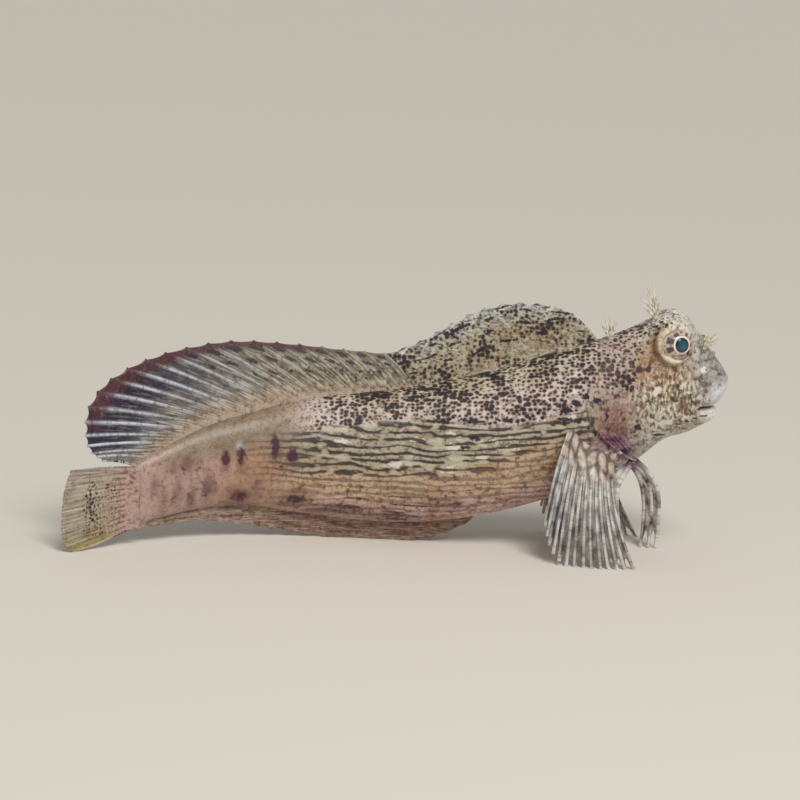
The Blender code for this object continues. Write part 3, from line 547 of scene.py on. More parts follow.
def wave(phase):
    """A wave between 0 and 1."""
    return 0.5 + 0.5 * np.sin(phase)


def unit(vectors):
    """Vectors scaled to length 1."""
    return vectors / np.maximum(np.linalg.norm(vectors, axis=-1, keepdims=True), 1e-9)


def on_left(points):
    """Points of the right half mirrored to the left."""
    return np.where(points[..., 1:2] < 0, points * (1, -1, 1), points)


def heading(u):
    """The way the body heads at u, seen from above."""
    head = HEAD_HEADING * (1 - smooth_step(u / HEAD_BEND_END))
    tail = TAIL_HEADING * smooth_step((u - TAIL_BEND_START) / (TAIL_BEND_END - TAIL_BEND_START))
    return head + tail


BACKBONE_U = np.linspace(-12.0, 140.0, 1521)
BACKBONE_STEP = BACKBONE_U[1] - BACKBONE_U[0]
BACKBONE_HEADING = heading(BACKBONE_U)
BACKBONE_MID = (BACKBONE_HEADING[1:] + BACKBONE_HEADING[:-1]) / 2
BACKBONE_X = -np.concatenate([[0], np.cumsum(np.cos(BACKBONE_MID))]) * BACKBONE_STEP
BACKBONE_Y = -np.concatenate([[0], np.cumsum(np.sin(BACKBONE_MID))]) * BACKBONE_STEP
BACKBONE_X -= np.interp(0.0, BACKBONE_U, BACKBONE_X)
BACKBONE_Y -= np.interp(STRAIGHT_U, BACKBONE_U, BACKBONE_Y)


def bend(points):
    """Takes points of the straight fish to their places on the bent one, in millimetres."""
    points = np.asarray(points, float)
    u, n, z = points[..., 0], points[..., 1], points[..., 2]
    turn = np.interp(u, BACKBONE_U, BACKBONE_HEADING)
    x = np.interp(u, BACKBONE_U, BACKBONE_X) - np.sin(turn) * n
    y = np.interp(u, BACKBONE_U, BACKBONE_Y) + np.cos(turn) * n
    return np.stack([x, y, z], axis=-1)


def offset_from_frame():
    """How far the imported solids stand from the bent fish, found from the middles of the two eyes."""
    middles = []
    for node in ("eye_left", "eye_right"):
        low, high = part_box(node)
        middles.append((np.array(low) + np.array(high)) / 2 / MM)
    shaped = bend([EYE, EYE * (1, -1, 1)])
    return np.mean(middles, axis=0) - shaped.mean(axis=0)


OFFSET = offset_from_frame()


def placed(points):
    """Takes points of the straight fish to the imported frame, in metres."""
    return (bend(points) + OFFSET) * MM


def spline(rows, s):
    """Points at s on a smooth curve through rows, where s counts rows."""
    rows = np.asarray(rows, float)
    s = np.clip(np.asarray(s, float), 0.0, len(rows) - 1.0)
    i = np.minimum(s.astype(int), len(rows) - 2)
    t = (s - i)[..., None]
    padded = np.vstack([2 * rows[0] - rows[1], rows, 2 * rows[-1] - rows[-2]])
    before, here, there, after = (padded[i + k] for k in range(4))
    slope_a = (there - before) / 2
    slope_b = (after - here) / 2
    return ((2 * t**3 - 3 * t**2 + 1) * here + (t**3 - 2 * t**2 + t) * slope_a
            + (3 * t**2 - 2 * t**3) * there + (t**3 - t**2) * slope_b)


def along(rows, a):
    """Points at the share a of the length of a smooth curve through rows."""
    steps = np.linspace(0, len(rows) - 1, 24 * len(rows))
    points = spline(rows, steps)
    lengths = np.concatenate([[0], np.cumsum(np.linalg.norm(np.diff(points, axis=0), axis=1))])
    return spline(rows, np.interp(np.asarray(a) * lengths[-1], lengths, steps))


def body_surface(s, turn):
    """Points of the plain body at the ring s and the turn round it, from the top down the left side."""
    rings = spline(BODY_RINGS, s)
    top, low = rings[..., 0:2], rings[..., 2:4]
    half, sweep, fullness = rings[..., 4], rings[..., 5], rings[..., 6]
    wedge = np.maximum(s - WEDGE_START, 0) / (LAST_RING + 0.01 - WEDGE_START)
    half = half * np.sqrt(np.clip(1 - wedge**2, 0, 1))
    share = (1 - np.cos(turn)) / 2
    u = top[..., 0] + (low[..., 0] - top[..., 0]) * share + sweep * np.sin(pi * share**SWEEP_SKEW)
    z = top[..., 1] + (low[..., 1] - top[..., 1]) * share
    side = np.sign(np.sin(turn)) * np.abs(np.sin(turn)) ** FLANK_POWER
    n = half * side * (1 - fullness * np.cos(turn))
    return np.stack([u, n, z], axis=-1)


def body_line(u, top):
    """The height of the back or the belly at u."""
    rings = spline(BODY_RINGS, np.linspace(GILL_RING, LAST_RING, 160))
    if top:
        return np.interp(u, rings[:, 0], rings[:, 1])
    return np.interp(u, rings[:, 2], rings[:, 3])


def lateral(forward, up):
    """The way out of the left side of the head, turned forward and up."""
    return np.array([-np.sin(forward), np.cos(forward) * np.cos(up), np.sin(up)])


RIM_AXIS = lateral(RIM_FORWARD, RIM_UP)


# Colours and paint

def linear(code):
    """An sRGB hex colour turned linear."""
    channels = np.array([int(code[i:i + 2], 16) for i in (1, 3, 5)]) / 255
    return np.where(channels <= 0.04045, channels / 12.92, ((channels + 0.055) / 1.055) ** 2.4)


def spread(centre, size, u, z):
    """A soft oval stain, 1 in the middle and a quarter at its size from there."""
    return np.exp(-(((u - centre[0]) / size[0]) ** 2 + ((z - centre[1]) / size[1]) ** 2) * STAIN_FALL)


def stains(rows, u, z):
    """The strongest of a list of stains at each point."""
    amount = np.zeros(u.shape)
    for centre_u, centre_z, length, height, strength in rows:
        amount = np.maximum(amount, strength * spread((centre_u, centre_z), (length, height), u, z))
    return amount


def blend_in(ground, code, amount):
    """Lays one colour over the ground by an amount."""
    amount = np.clip(amount, 0.0, 1.0)[..., None]
    return ground * (1 - amount) + linear(code) * amount


def lay_grounds(paint, layers):
    """Lays colours over the paint's ground, each by its amount."""
    for code, amount in layers:
        paint["ground"] = blend_in(paint["ground"], code, amount)


def flat_place(across, onward):
    """A place in a flat pattern."""
    return np.stack([across, onward, np.zeros_like(across)], axis=-1)


def plain_paint(place, code, **levels):
    """Paint of one ground colour, for points of the straight fish.

    levels gives the channels that aren't 0 all over. dots, lines, spots and mottle say how strongly each
    pattern shows, blocks where pale blocks part the lines, and navy, maroon, rust and pale how far each stain
    reaches. flecks are light strokes, gloss is moisture, and film is how solid a fin is. lattice is where the
    dots sit and weave where the strokes run. flow counts the lines across the flank.
    """
    shape = place.shape[:-1]
    levels = {"film": 1.0, **levels}
    names = [name for group in CHANNELS.values() for name in group if name not in GROUND]
    paint = {name: np.full(shape, levels.get(name, 0.0)) for name in names}
    paint["place"] = place
    down = SIDEWAYS_SHARE * np.abs(place[..., 1]) - place[..., 2]
    paint["lattice"] = flat_place(place[..., 0], down) / DOT_SPACING
    paint["weave"] = place * STROKE_WAVES
    paint["ground"] = np.broadcast_to(linear(code), place.shape)
    return paint


def body_paint(s, share, place):
    """The markings of the skin, by ring, share down the flank and place, with some painted light and shade.
    """
    u, z = place[..., 0], place[..., 2]
    paint = plain_paint(place, SANDY)
    trunk = rise(u, 22.0, 27.0) * rise(s, 14.4, 15.6)
    head = 1 - trunk
    dots_end = np.interp(u, *DOTS_END.T)
    lines_end = np.interp(u, *LINES_END.T)
    lips = rise(s, 4.9, 3.6)
    upper_lip = lips * rise(share, 0.80, 0.5) * rise(u, 5.0, 2.4)
    lower_lip = lips * rise(share, 0.5, 0.8) * rise(u, 7.0, 4.5)
    crown = head * rise(share, 0.26, 0.06) * rise(u, 1.0, 6.0)
    rear = rise(u, 74.0, 86.0)
    lay_grounds(paint, (
        (PINK_CREAM, trunk),
        (GREEN_CREAM, trunk * rise(share, 0.24, 0.03) * rise(u, 80.0, 56.0)),
        (OLIVE_CREAM, trunk * rise(z, dots_end + 1.2, dots_end - 1.6)),
        (TAN_PINK, trunk * rise(z, lines_end + 3.0, lines_end - 1.0)),
        # Rosy belly, painted lighter as painted light against the shade under the body.
        (ROSY_BELLY_AND_LIGHT, trunk * rise(share, 0.72, 0.93)),
        (RUSTY_FLANK, rear),
        (MAUVE_STALK, rise(u, 88.0, 98.0)),
        # Drab upper back towards the tail, painted darker as painted shade against the light on top.
        (DRAB_BACK_AND_SHADE, rise(u, 72.0, 84.0) * rise(share, 0.50, 0.20) * rise(u, 108.0, 98.0)),
        (MAUVE_BAR, stains(BARS, u, z)),
        (BLUISH, spread((89.0, 17.4), (0.8, 0.8), u, z)),
        (PALE_BROW, crown * 0.8),
        (SNOUT_GREY, head * rise(u, 9.0, 5.0) * rise(z, 27.0, 32.0)),
        (NAPE_BROWN, head * rise(u, 15.5, 20.0) * rise(z, 27.0, 31.0)),
        (WARM_ORANGE, head * spread((15.6, 35.4), (2.4, 4.6), u, z) * 0.85),
        (WARM_ORANGE, head * spread((12.2, 33.2), (4.4, 1.8), u, z) * 0.7),
        (GILL_PINK, spread((20.6, 25.4), (4.8, 5.4), u, z) * rise(z, 33.0, 29.0)),
        (THROAT, head * rise(share, 0.80, 0.92) * 0.8),
        (PURPLE_BAND, spread((21.0, 21.7), (4.2, 2.6), u, z)),
        (PURPLE_BAND, spread((18.6, 19.2), (3.4, 2.4), u, z) * rise(u, 14.0, 17.0) * 0.9),
        # Pale upper lip with a painted highlight along the front of its roll.
        (LAVENDER_AND_HIGHLIGHT, upper_lip * 0.95),
        (LIP_WHITE, lower_lip),
        # Painted shade where the closed lips meet.
        (MOUTH_SLIT_SHADE, rise(s, 1.15, 0.45)),
    ))
    on_trunk = trunk * rise(z, dots_end - 1.2, dots_end + 0.8) * rise(u, 84.0, 70.0)
    on_nape = head * rise(u, 15.0, 18.5) * rise(z, 28.5, 31.5)
    on_brow = head * rise(u, 8.0, 12.0) * rise(z, 38.5, 41.0)
    paint["dots"] = np.clip(on_trunk + on_nape + on_brow * 0.7, 0, 1) + 0.30 * stains(SADDLES, u, z)
    in_lines = trunk * rise(z, dots_end + 0.8, dots_end - 0.6)
    lower = rise(z, lines_end + 1.0, lines_end - 2.0)
    paint["lines"] = in_lines * (1 - 0.6 * lower) * rise(u, 92.0, 72.0) * rise(share, 0.995, 0.93)
    paint["blocks"] = in_lines * (1 - lower) * rise(u, 82.0, 70.0)
    paint["flow"] = (LINE_RISE * np.maximum(LINE_RISE_FROM - u, 0) ** 2 - z + COUNT_FROM) / LINE_PITCH
    paint["spots"] = np.clip(head * spread((18.6, 32.6), (5.4, 6.0), u, z) * 1.4 * rise(z, 25.0, 28.0), 0, 1)
    bare = np.clip(upper_lip + lower_lip, 0, 1)
    calm = (1 - 0.75 * upper_lip) * (1 - 0.5 * lower_lip)
    paint["mottle"] = np.clip(0.8 + head * 0.2 - 0.35 * rear, 0, 1) * calm
    paint["flecks"] = head * np.clip(spread((11.0, 28.8), (7.5, 7.0), u, z) * 1.4, 0, 1) * (1 - bare)
    paint["gloss"] = np.clip(bare + 0.15, 0, 1)
    paint["navy"] = stains(NAVY_STAINS, u, z)
    paint["maroon"] = stains(MAROON_STAINS, u, z)
    paint["rust"] = stains(RUST_STAINS, u, z)
    paint["pale"] = stains(PALE_STAINS, u, z)
    return paint


def round_rim(left):
    """How points of the left half lie to the rim of the eye.

    Their height over it, their distance from its axis, and 1 behind and below the eye, 0 above and in front.
    """
    run = left - EYE - RIM_AXIS * RIM_OUT
    height = run @ RIM_AXIS
    across = run - height[..., None] * RIM_AXIS
    away = np.linalg.norm(across, axis=-1)
    lean = (REARWARD * across[..., 0] - DOWNWARD * across[..., 2]) / np.maximum(away, 1e-6)
    return height, away, rise(lean, -0.15, 0.55)


def paint_round_eyes(paint, points):
    """Cream rims, a brown shade under them and plain sockets."""
    left = on_left(points)
    height, away, below = round_rim(left)
    near = (left[..., 1] > 2.0) & (points[..., 0] < 17)
    band = np.exp(-((away - RIM_RADIUS - 0.05) / 0.55) ** 4) * near * rise(height, -2.0, -0.6)
    band = band * (0.15 + 0.85 * below)
    under = bump_at(away, RIM_RADIUS + 0.95, 0.34) * near * below
    socket = rise(away, RIM_RADIUS - 0.35, RIM_RADIUS - 0.6) * near
    lay_grounds(paint, ((RIM_CREAM, band), (UNDER_RIM, under * 0.85), (SOCKET_BROWN, socket)))
    for key, share in (("dots", 0.9), ("rust", 0.9), ("flecks", 0.9), ("mottle", 0.35)):
        paint[key] = paint[key] * (1 - share * band) * (1 - socket)


def write_attribute(mesh, name, kind, values):
    """Writes a value for each point into a new attribute of the mesh."""
    member = {"FLOAT": "value", "FLOAT_VECTOR": "vector", "FLOAT_COLOR": "color"}[kind]
    made = mesh.attributes.new(name, kind, "POINT")
    made.data.foreach_set(member, np.asarray(values, np.float32).reshape(-1))


def write_paint(mesh, paint):
    """Writes the paint of each point into the mesh's attributes."""
    for name in PLACES:
        write_attribute(mesh, name, "FLOAT_VECTOR", paint[name])
    levels = {**paint, **dict(zip(GROUND, np.moveaxis(paint["ground"], -1, 0)))}
    for key, names in CHANNELS.items():
        write_attribute(mesh, key, "FLOAT_COLOR", np.stack([levels[name] for name in names], axis=-1))


# The head's own shape: one field, found along the way out of the plain body.

def smooth_least(a, b, width):
    """The lower of two fields, rounded where they meet."""
    mix = np.clip(0.5 + 0.5 * (b - a) / width, 0.0, 1.0)
    return b + (a - b) * mix - width * mix * (1 - mix)


def smooth_most(a, b, width):
    """The higher of two fields, rounded where they meet."""
    return -smooth_least(-a, -b, width)


def rod_distance(point, start, end, radius):
    """Distance outside a straight rod with round ends."""
    run = end - start
    t = np.clip(((point - start) @ run) / (run @ run), 0.0, 1.0)
    return np.linalg.norm(point - start - t[..., None] * run, axis=-1) - radius


def head_field(point, outside):
    """How far outside the finished head a point lies. outside is its distance outside the plain body."""
    left = on_left(point)
    x, y, z = np.moveaxis(left, -1, 0)
    dome = np.linalg.norm(left - BROW_DOME, axis=-1) - BROW_DOME_RADIUS
    field = smooth_least(outside, dome, BROW_SMOOTHING)
    knobs = np.sin(3.9 * x + 2.0 * np.sin(1.9 * z)) * np.sin(3.5 * z + 2.6 * y)
    field = field - KNOB_HEIGHT * knobs * rise(z, 38.0, 41.0)
    height, away, below = round_rim(left)
    collar = np.hypot(away - RIM_RADIUS, height + 0.6) - RIM_THICKNESS * (0.7 + 0.4 * below)
    field = smooth_least(field, collar, COLLAR_SMOOTHING)
    crease = np.hypot(away - RIM_RADIUS - CREASE_OUT, height + 0.2) - (0.55 * below - 0.38)
    field = smooth_most(field, -crease, CREASE_SMOOTHING)
    rim = np.hypot(away - RIM_RADIUS, height) - RIM_THICKNESS * (0.30 + 0.66 * below)
    field = smooth_least(field, rim, RIM_SMOOTHING)
    from_eye = np.linalg.norm(left - EYE, axis=-1)
    field = smooth_most(field, EYE_RADIUS + SOCKET_GAP - from_eye, SOCKET_SMOOTHING)
    field = np.minimum(field, from_eye - EYE_RADIUS + SOCKET_BACKING)
    for nostril in NOSTRILS:
        middle = np.array(nostril)
        funnel = rod_distance(left, middle - NOSTRIL_WAY, middle + NOSTRIL_WAY * 0.45, NOSTRIL_RADIUS)
        bore = rod_distance(left, middle - NOSTRIL_WAY * 0.3, middle + NOSTRIL_WAY * 2, NOSTRIL_BORE)
        field = smooth_least(field, funnel, FUNNEL_SMOOTHING)
        field = smooth_most(field, -bore, BORE_SMOOTHING)
    return field


def skin_offset(s, share):
    """How far the finished skin stands proud of the plain rings: gill cover edge, lips and throat folds."""
    lower = rise(share, 0.30, 0.55)
    behind = rise(s, GILL_RING - 0.02, GILL_RING + 0.07)
    healed = rise(s, GILL_RING + 0.15, GILL_RING + 0.75)
    offset = -GILL_STEP * behind * (1 - healed) * (0.25 + 0.75 * lower)
    offset += GILL_EDGE * rise(s, GILL_RING - 0.5, GILL_RING - 0.05) * (1 - behind) * lower
    folds = np.cos(TAU * (s - GILL_RING) / FOLD_PITCH) - 1
    in_folds = rise(s, GILL_RING - 2.8, GILL_RING - 2.0) * rise(s, GILL_RING - 0.1, GILL_RING - 0.4)
    offset += FOLD_DEPTH * folds * in_folds * rise(share, 0.74, 0.86)
    offset -= LIP_CREASE * bump_at(s, LIP_CREASE_RING, 0.2) * rise(share, 0.62, 0.36)
    offset += LIP_SWELLING * bump_at(s, 3.0, 0.9) * rise(share, 0.8, 0.5)
    return offset


def grid_normals(points):
    """Unit normals of a grid of points, closed round its second direction."""
    along_rows = np.gradient(points, axis=0)
    round_ring = (np.roll(points, -1, axis=1) - np.roll(points, 1, axis=1)) / 2
    return unit(np.cross(round_ring, along_rows))


def skin_grid():
    """Stations, turns and points of the finished skin."""
    head_part = np.linspace(0, GILL_RING + 1, HEAD_STEPS * (GILL_RING + 1) + 1)
    tail_part = np.linspace(GILL_RING + 1, LAST_RING, BODY_STEPS * (LAST_RING - GILL_RING - 1) + 1)
    stations = np.concatenate([head_part, tail_part[1:]])
    s, turn = np.meshgrid(stations, np.arange(SKIN_SIDES) * TAU / SKIN_SIDES, indexing="ij")
    share = (1 - np.cos(turn)) / 2
    plain = body_surface(s, turn)
    normal = grid_normals(plain)
    middle = len(stations) // 2
    inside = plain[middle].mean(axis=0)
    normal = normal * np.sign(np.sum(normal[middle] * (plain[middle] - inside)))
    offset = skin_offset(s, share)
    points = plain + normal * offset[..., None]
    head = stations < GILL_RING
    steps = np.arange(SEARCH_OUT, SEARCH_IN, -SEARCH_STEP)
    found = np.full(s[head].shape, steps[-1])
    value_before = head_field(plain[head] + normal[head] * steps[0], steps[0] - offset[head])
    searching = np.ones(found.shape, bool)
    for step in steps[1:]:
        value = head_field(plain[head] + normal[head] * step, step - offset[head])
        hit = searching & (value <= 0)
        part = value_before / np.maximum(value_before - value, 1e-9)
        found = np.where(hit, step + SEARCH_STEP * (1 - part), found)
        searching &= ~hit
        value_before = value
    points[head] = plain[head] + normal[head] * found[..., None]
    return s, share, points


# Meshes

def mesh_from(name, points, faces, edges=()):
    """A mesh from arrays of points, faces and edges, in the straight fish's millimetres."""
    mesh = bpy.data.meshes.new(name)
    mesh.from_pydata(placed(points).tolist(), edges, faces)
    mesh.update()
    return mesh


def new_piece(name, mesh):
    """Puts a mesh into the scene as a smooth object."""
    piece = bpy.data.objects.new(name, mesh)
    bpy.context.scene.collection.objects.link(piece)
    mesh.shade_smooth()
    return piece


def finish_piece(piece, slot, *nodes):
    """Gives a piece its place on the body and hides the solids it stands for."""
    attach(piece, "root")
    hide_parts(*nodes)


def grid_faces(rows, columns, closed):
    """Quads over a grid of points, numbered row by row."""
    faces = []
    for i in range(rows - 1):
        for j in range(columns if closed else columns - 1):
            k = (j + 1) % columns
            faces.append((i * columns + j, i * columns + k, (i + 1) * columns + k, (i + 1) * columns + j))
    return faces


def end_cap(start, count, turned):
    """Faces from flank to flank over one ring of points."""
    faces = []
    for i in range(count // 2):
        corners = [start + i, start + i + 1, start + (count - i - 1), start + (-i) % count]
        unique = list(dict.fromkeys(corners))
        faces.append(unique[::-1] if turned else unique)
    return faces


def face_outward(mesh):
    """Turns the faces of a closed mesh outward."""
    form = bmesh.new()
    form.from_mesh(mesh)
    bmesh.ops.recalc_face_normals(form, faces=form.faces)
    if form.calc_volume(signed=True) < 0:
        bmesh.ops.reverse_faces(form, faces=form.faces)
    form.to_mesh(mesh)
    form.free()


def settle_on_floor(mesh):
    """Flattens what would reach under the floor, as a fin does where it rests."""
    places = np.empty(len(mesh.vertices) * 3)
    mesh.vertices.foreach_get("co", places)
    places = places.reshape(-1, 3)
    places[:, 2] = np.maximum(places[:, 2], 0.0)
    mesh.vertices.foreach_set("co", places.reshape(-1))
    mesh.update()


def make_skin(material):
    """The skin of head, trunk and tail as one closed surface."""
    s, share, points = skin_grid()
    rows, columns = s.shape
    faces = grid_faces(rows, columns, True)
    faces += end_cap(0, columns, True) + end_cap((rows - 1) * columns, columns, False)
    mesh = mesh_from("skin", points.reshape(-1, 3), faces)
    paint = body_paint(s, share, points)
    paint_round_eyes(paint, points)
    write_paint(mesh, paint)
    face_outward(mesh)
    mesh.materials.append(material)
    finish_piece(new_piece("skin", mesh), "body_skin", "head", "torso", "tail")


def iris_paint(reach, spin):
    """Pale iris with dark patches that spread out from the pupil."""
    ground = np.broadcast_to(linear(IRIS_PALE), (*reach.shape, 3))
    for angle, width, inner, outer, code in IRIS_PATCHES:
        aside = np.abs((spin - radians(angle) + pi) % TAU - pi) / radians(width)
        amount = rise(aside, 1.25, 0.75) * rise(reach, inner - 0.1, inner + 0.1)
        ground = blend_in(ground, code, amount * rise(reach, outer + 0.18, outer - 0.12))
    return blend_in(ground, IRIS_EDGE, rise(reach, *IRIS_EDGE_SLOPE))


def make_eye(side, name, node, material):
    """Eyeball with a sunken iris and a domed lens, turned to its gaze."""
    polar, turn = np.meshgrid(np.linspace(0, pi, EYE_RINGS + 1)[1:-1],
                              np.arange(EYE_SEGMENTS) * TAU / EYE_SEGMENTS, indexing="ij")
    out = EYE_RADIUS * np.sin(polar)
    front = polar < pi / 2
    lens = rise(out, LENS_RADIUS + LENS_START, LENS_RADIUS - LENS_FULL) * front
    iris = rise(out, *IRIS_SLOPE) * front
    groove = bump_at(out, LENS_RADIUS, GROOVE_WIDTH) * front
    radius = EYE_RADIUS - IRIS_DEPTH * iris + LENS_HEIGHT * lens - GROOVE_DEPTH * groove
    gaze = lateral(GAZE_FORWARD, GAZE_UP)
    across = unit(np.cross(gaze, (0, 0, 1)))
    upward = np.cross(across, gaze)
    directions = (np.cos(polar)[..., None] * gaze + (np.sin(polar) * np.cos(turn))[..., None] * across
                  + (np.sin(polar) * np.sin(turn))[..., None] * upward)
    ball = (EYE + directions * radius[..., None]).reshape(-1, 3)
    poles = np.array([EYE + gaze * (EYE_RADIUS - IRIS_DEPTH + LENS_HEIGHT), EYE - gaze * EYE_RADIUS])
    rows = EYE_RINGS - 1
    faces = grid_faces(rows, EYE_SEGMENTS, True)
    for j in range(EYE_SEGMENTS):
        k = (j + 1) % EYE_SEGMENTS
        faces.append((len(ball), k, j))
        faces.append((len(ball) + 1, (rows - 1) * EYE_SEGMENTS + j, (rows - 1) * EYE_SEGMENTS + k))
    mesh = mesh_from(name, np.vstack([ball, poles]) * (1, side, 1), faces)
    reach = np.concatenate([np.where(front, out, 2 * EYE_RADIUS - out).reshape(-1), [0.0, 2 * EYE_RADIUS]])
    spin = np.concatenate([turn.reshape(-1), [0.0, 0.0]])
    looks = np.column_stack([np.cos(spin) * reach, np.sin(spin) * reach, reach])
    write_attribute(mesh, "gaze", "FLOAT_VECTOR", looks)
    colours = np.column_stack([iris_paint(reach, spin), np.ones(len(reach))])
    write_attribute(mesh, "iris", "FLOAT_COLOR", colours)
    face_outward(mesh)
    mesh.materials.append(material)
    finish_piece(new_piece(name, mesh), "eye", node)


# Strands, which are the rays of the fins and the filaments of the tufts

def add_node(tree, kind, settings=None, links=None):
    """Adds a node, sets its properties and inputs, and links other sockets to its inputs."""
    node = tree.nodes.new(kind)
    for key, value in (settings or {}).items():
        if isinstance(key, str) and hasattr(node, key) and key not in node.inputs:
            setattr(node, key, value)
        else:
            node.inputs[key].default_value = value
    for key, source in (links or {}).items():
        tree.links.new(source, node.inputs[key])
    return node


def strand_tree():
    """A node tree that turns lines into closed strands, as thick as their points say, flat towards facing."""
    tree = bpy.data.node_groups.new("strands_along_lines", "GeometryNodeTree")
    inputs = {"Lines": "Geometry", "Sides": "Int", "Flatness": "Float", "Finish": "Material"}
    for name, kind in inputs.items():
        tree.interface.new_socket(name, in_out="INPUT", socket_type="NodeSocket" + kind)
    tree.interface.new_socket("Strands", in_out="OUTPUT", socket_type="NodeSocketGeometry")
    given = add_node(tree, "NodeGroupInput")
    thick = add_node(tree, "GeometryNodeInputNamedAttribute", {"Name": "thick"})
    facing = add_node(tree, "GeometryNodeInputNamedAttribute", {
        "data_type": "FLOAT_VECTOR", "Name": "facing"})
    curve = add_node(tree, "GeometryNodeMeshToCurve", {}, {"Mesh": given.outputs["Lines"]})
    turned = add_node(tree, "GeometryNodeSetCurveNormal", {"mode": "FREE"}, {
        "Curve": curve.outputs["Curve"], "Normal": facing.outputs["Attribute"]})
    ring = add_node(tree, "GeometryNodeCurvePrimitiveCircle", {"Radius": 1.0}, {
        "Resolution": given.outputs["Sides"]})
    squash = add_node(tree, "ShaderNodeCombineXYZ", {"Y": 1.0, "Z": 1.0}, {"X": given.outputs["Flatness"]})
    profile = add_node(tree, "GeometryNodeTransform", {}, {
        "Geometry": ring.outputs["Curve"], "Scale": squash.outputs["Vector"]})
    strand = add_node(tree, "GeometryNodeCurveToMesh", {"Fill Caps": True}, {
        "Curve": turned.outputs["Curve"], "Profile Curve": profile.outputs["Geometry"],
        "Scale": thick.outputs["Attribute"]})
    real = add_node(tree, "GeometryNodeRealizeInstances", {}, {"Geometry": strand.outputs["Mesh"]})
    finish = add_node(tree, "GeometryNodeSetMaterial", {}, {
        "Geometry": real.outputs["Geometry"], "Material": given.outputs["Finish"]})
    add_node(tree, "NodeGroupOutput", {}, {"Strands": finish.outputs["Geometry"]})
    return tree


def make_strands(name, lines, radius, facing, paint, tree, flatness, material):
    """Strands along rows of points, grown by the node tree and turned into a plain mesh."""
    edges = []
    for first in range(0, lines.shape[0] * lines.shape[1], lines.shape[1]):
        edges += [(first + i, first + i + 1) for i in range(lines.shape[1] - 1)]
    mesh = mesh_from(name, lines.reshape(-1, 3), [], edges)
    write_paint(mesh, paint)
    onward = unit(np.gradient(placed(lines), axis=1))
    face = placed(lines + facing * 0.01) - placed(lines)
    face = unit(face - np.sum(face * onward, axis=-1, keepdims=True) * onward)
    write_attribute(mesh, "facing", "FLOAT_VECTOR", face)
    write_attribute(mesh, "thick", "FLOAT", radius * MM)
    piece = new_piece(name, mesh)
    modifier = piece.modifiers.new("strands", "NODES")
    modifier.node_group = tree
    sockets = {item.name: item.identifier for item in tree.interface.items_tree if item.in_out == "INPUT"}
    modifier[sockets["Sides"]] = STRAND_SIDES
    modifier[sockets["Flatness"]] = flatness
    modifier[sockets["Finish"]] = material
    bpy.context.view_layer.update()
    graph = bpy.context.evaluated_depsgraph_get()
    grown = bpy.data.meshes.new_from_object(piece.evaluated_get(graph))
    piece.modifiers.clear()
    piece.data = grown
    bpy.data.meshes.remove(mesh)
    grown.shade_smooth()
    face_outward(grown)
    return piece


# Fins

def upright(points):
    """Points of the side view, set on the midline."""
    points = np.asarray(points)
    return np.stack([points[..., 0], np.zeros(points.shape[:-1]), points[..., 1]], axis=-1)


def bowed(start, end, bow, b):
    """Points at the share b of the way from start to end, on a curve that bow draws aside."""
    middle = (start + end) / 2 + bow
    return (1 - b) ** 2 * start + 2 * b * (1 - b) * middle + b * b * end


def fan(root, edge, bow):
    """The surface swept by rays from a root curve to an edge curve, each bowed in the middle."""
    def surface(a, b):
        return bowed(root(a), edge(a), bow(a), b[..., None])
    return surface


def facing_of(surface, a, b):
    """The way the sheet faces at a and b."""
    step = 0.004
    across = surface(np.clip(a + step, 0, 1), b) - surface(np.clip(a - step, 0, 1), b)
    onward = surface(a, np.clip(b + step, 0, 1)) - surface(a, np.clip(b - step, 0, 1))
    return unit(np.cross(across, onward))


def membrane(name, surface, shape, painter):
    """The thin skin between the rays, closed on both faces and notched between the ray tips."""
    rows = shape.rows
    columns = (shape.rays - 1) * COLUMNS_PER_RAY + 1
    a, b = np.meshgrid(np.linspace(0, 1, columns), np.linspace(0, 1, rows), indexing="ij")
    count = a * (shape.rays - 1)
    between = np.abs(np.sin(pi * count))
    reach = b * (1 - shape.notch * between * b**2)
    points = surface(a, reach)
    normal = facing_of(surface, a, reach)
    slack = np.where(np.floor(count) % 2 == 0, FILM_SLACK, -FILM_SLACK) * between * rise(b, 0.05, 0.4)
    half = (shape.film + (shape.root - shape.film) * (1 - smooth_step(b / shape.thinning))) / 2
    both = np.stack([points + normal * (slack + side * half)[..., None] for side in (1, -1)])
    size = columns * rows
    faces = grid_faces(columns, rows, False)
    faces += [tuple(size + corner for corner in face[::-1]) for face in faces]
    edge = [i * rows for i in range(columns)] + [(columns - 1) * rows + j for j in range(1, rows)]
    edge += [i * rows + rows - 1 for i in range(columns - 2, -1, -1)] + list(range(rows - 2, 0, -1))
    for here, there in zip(edge, edge[1:] + edge[:1]):
        faces.append((here, there, size + there, size + here))
    mesh = mesh_from(name, both.reshape(-1, 3), faces)
    write_paint(mesh, {key: np.stack([value] * 2) for key, value in painter(a, reach, points, False).items()})
    face_outward(mesh)
    return new_piece(name, mesh)


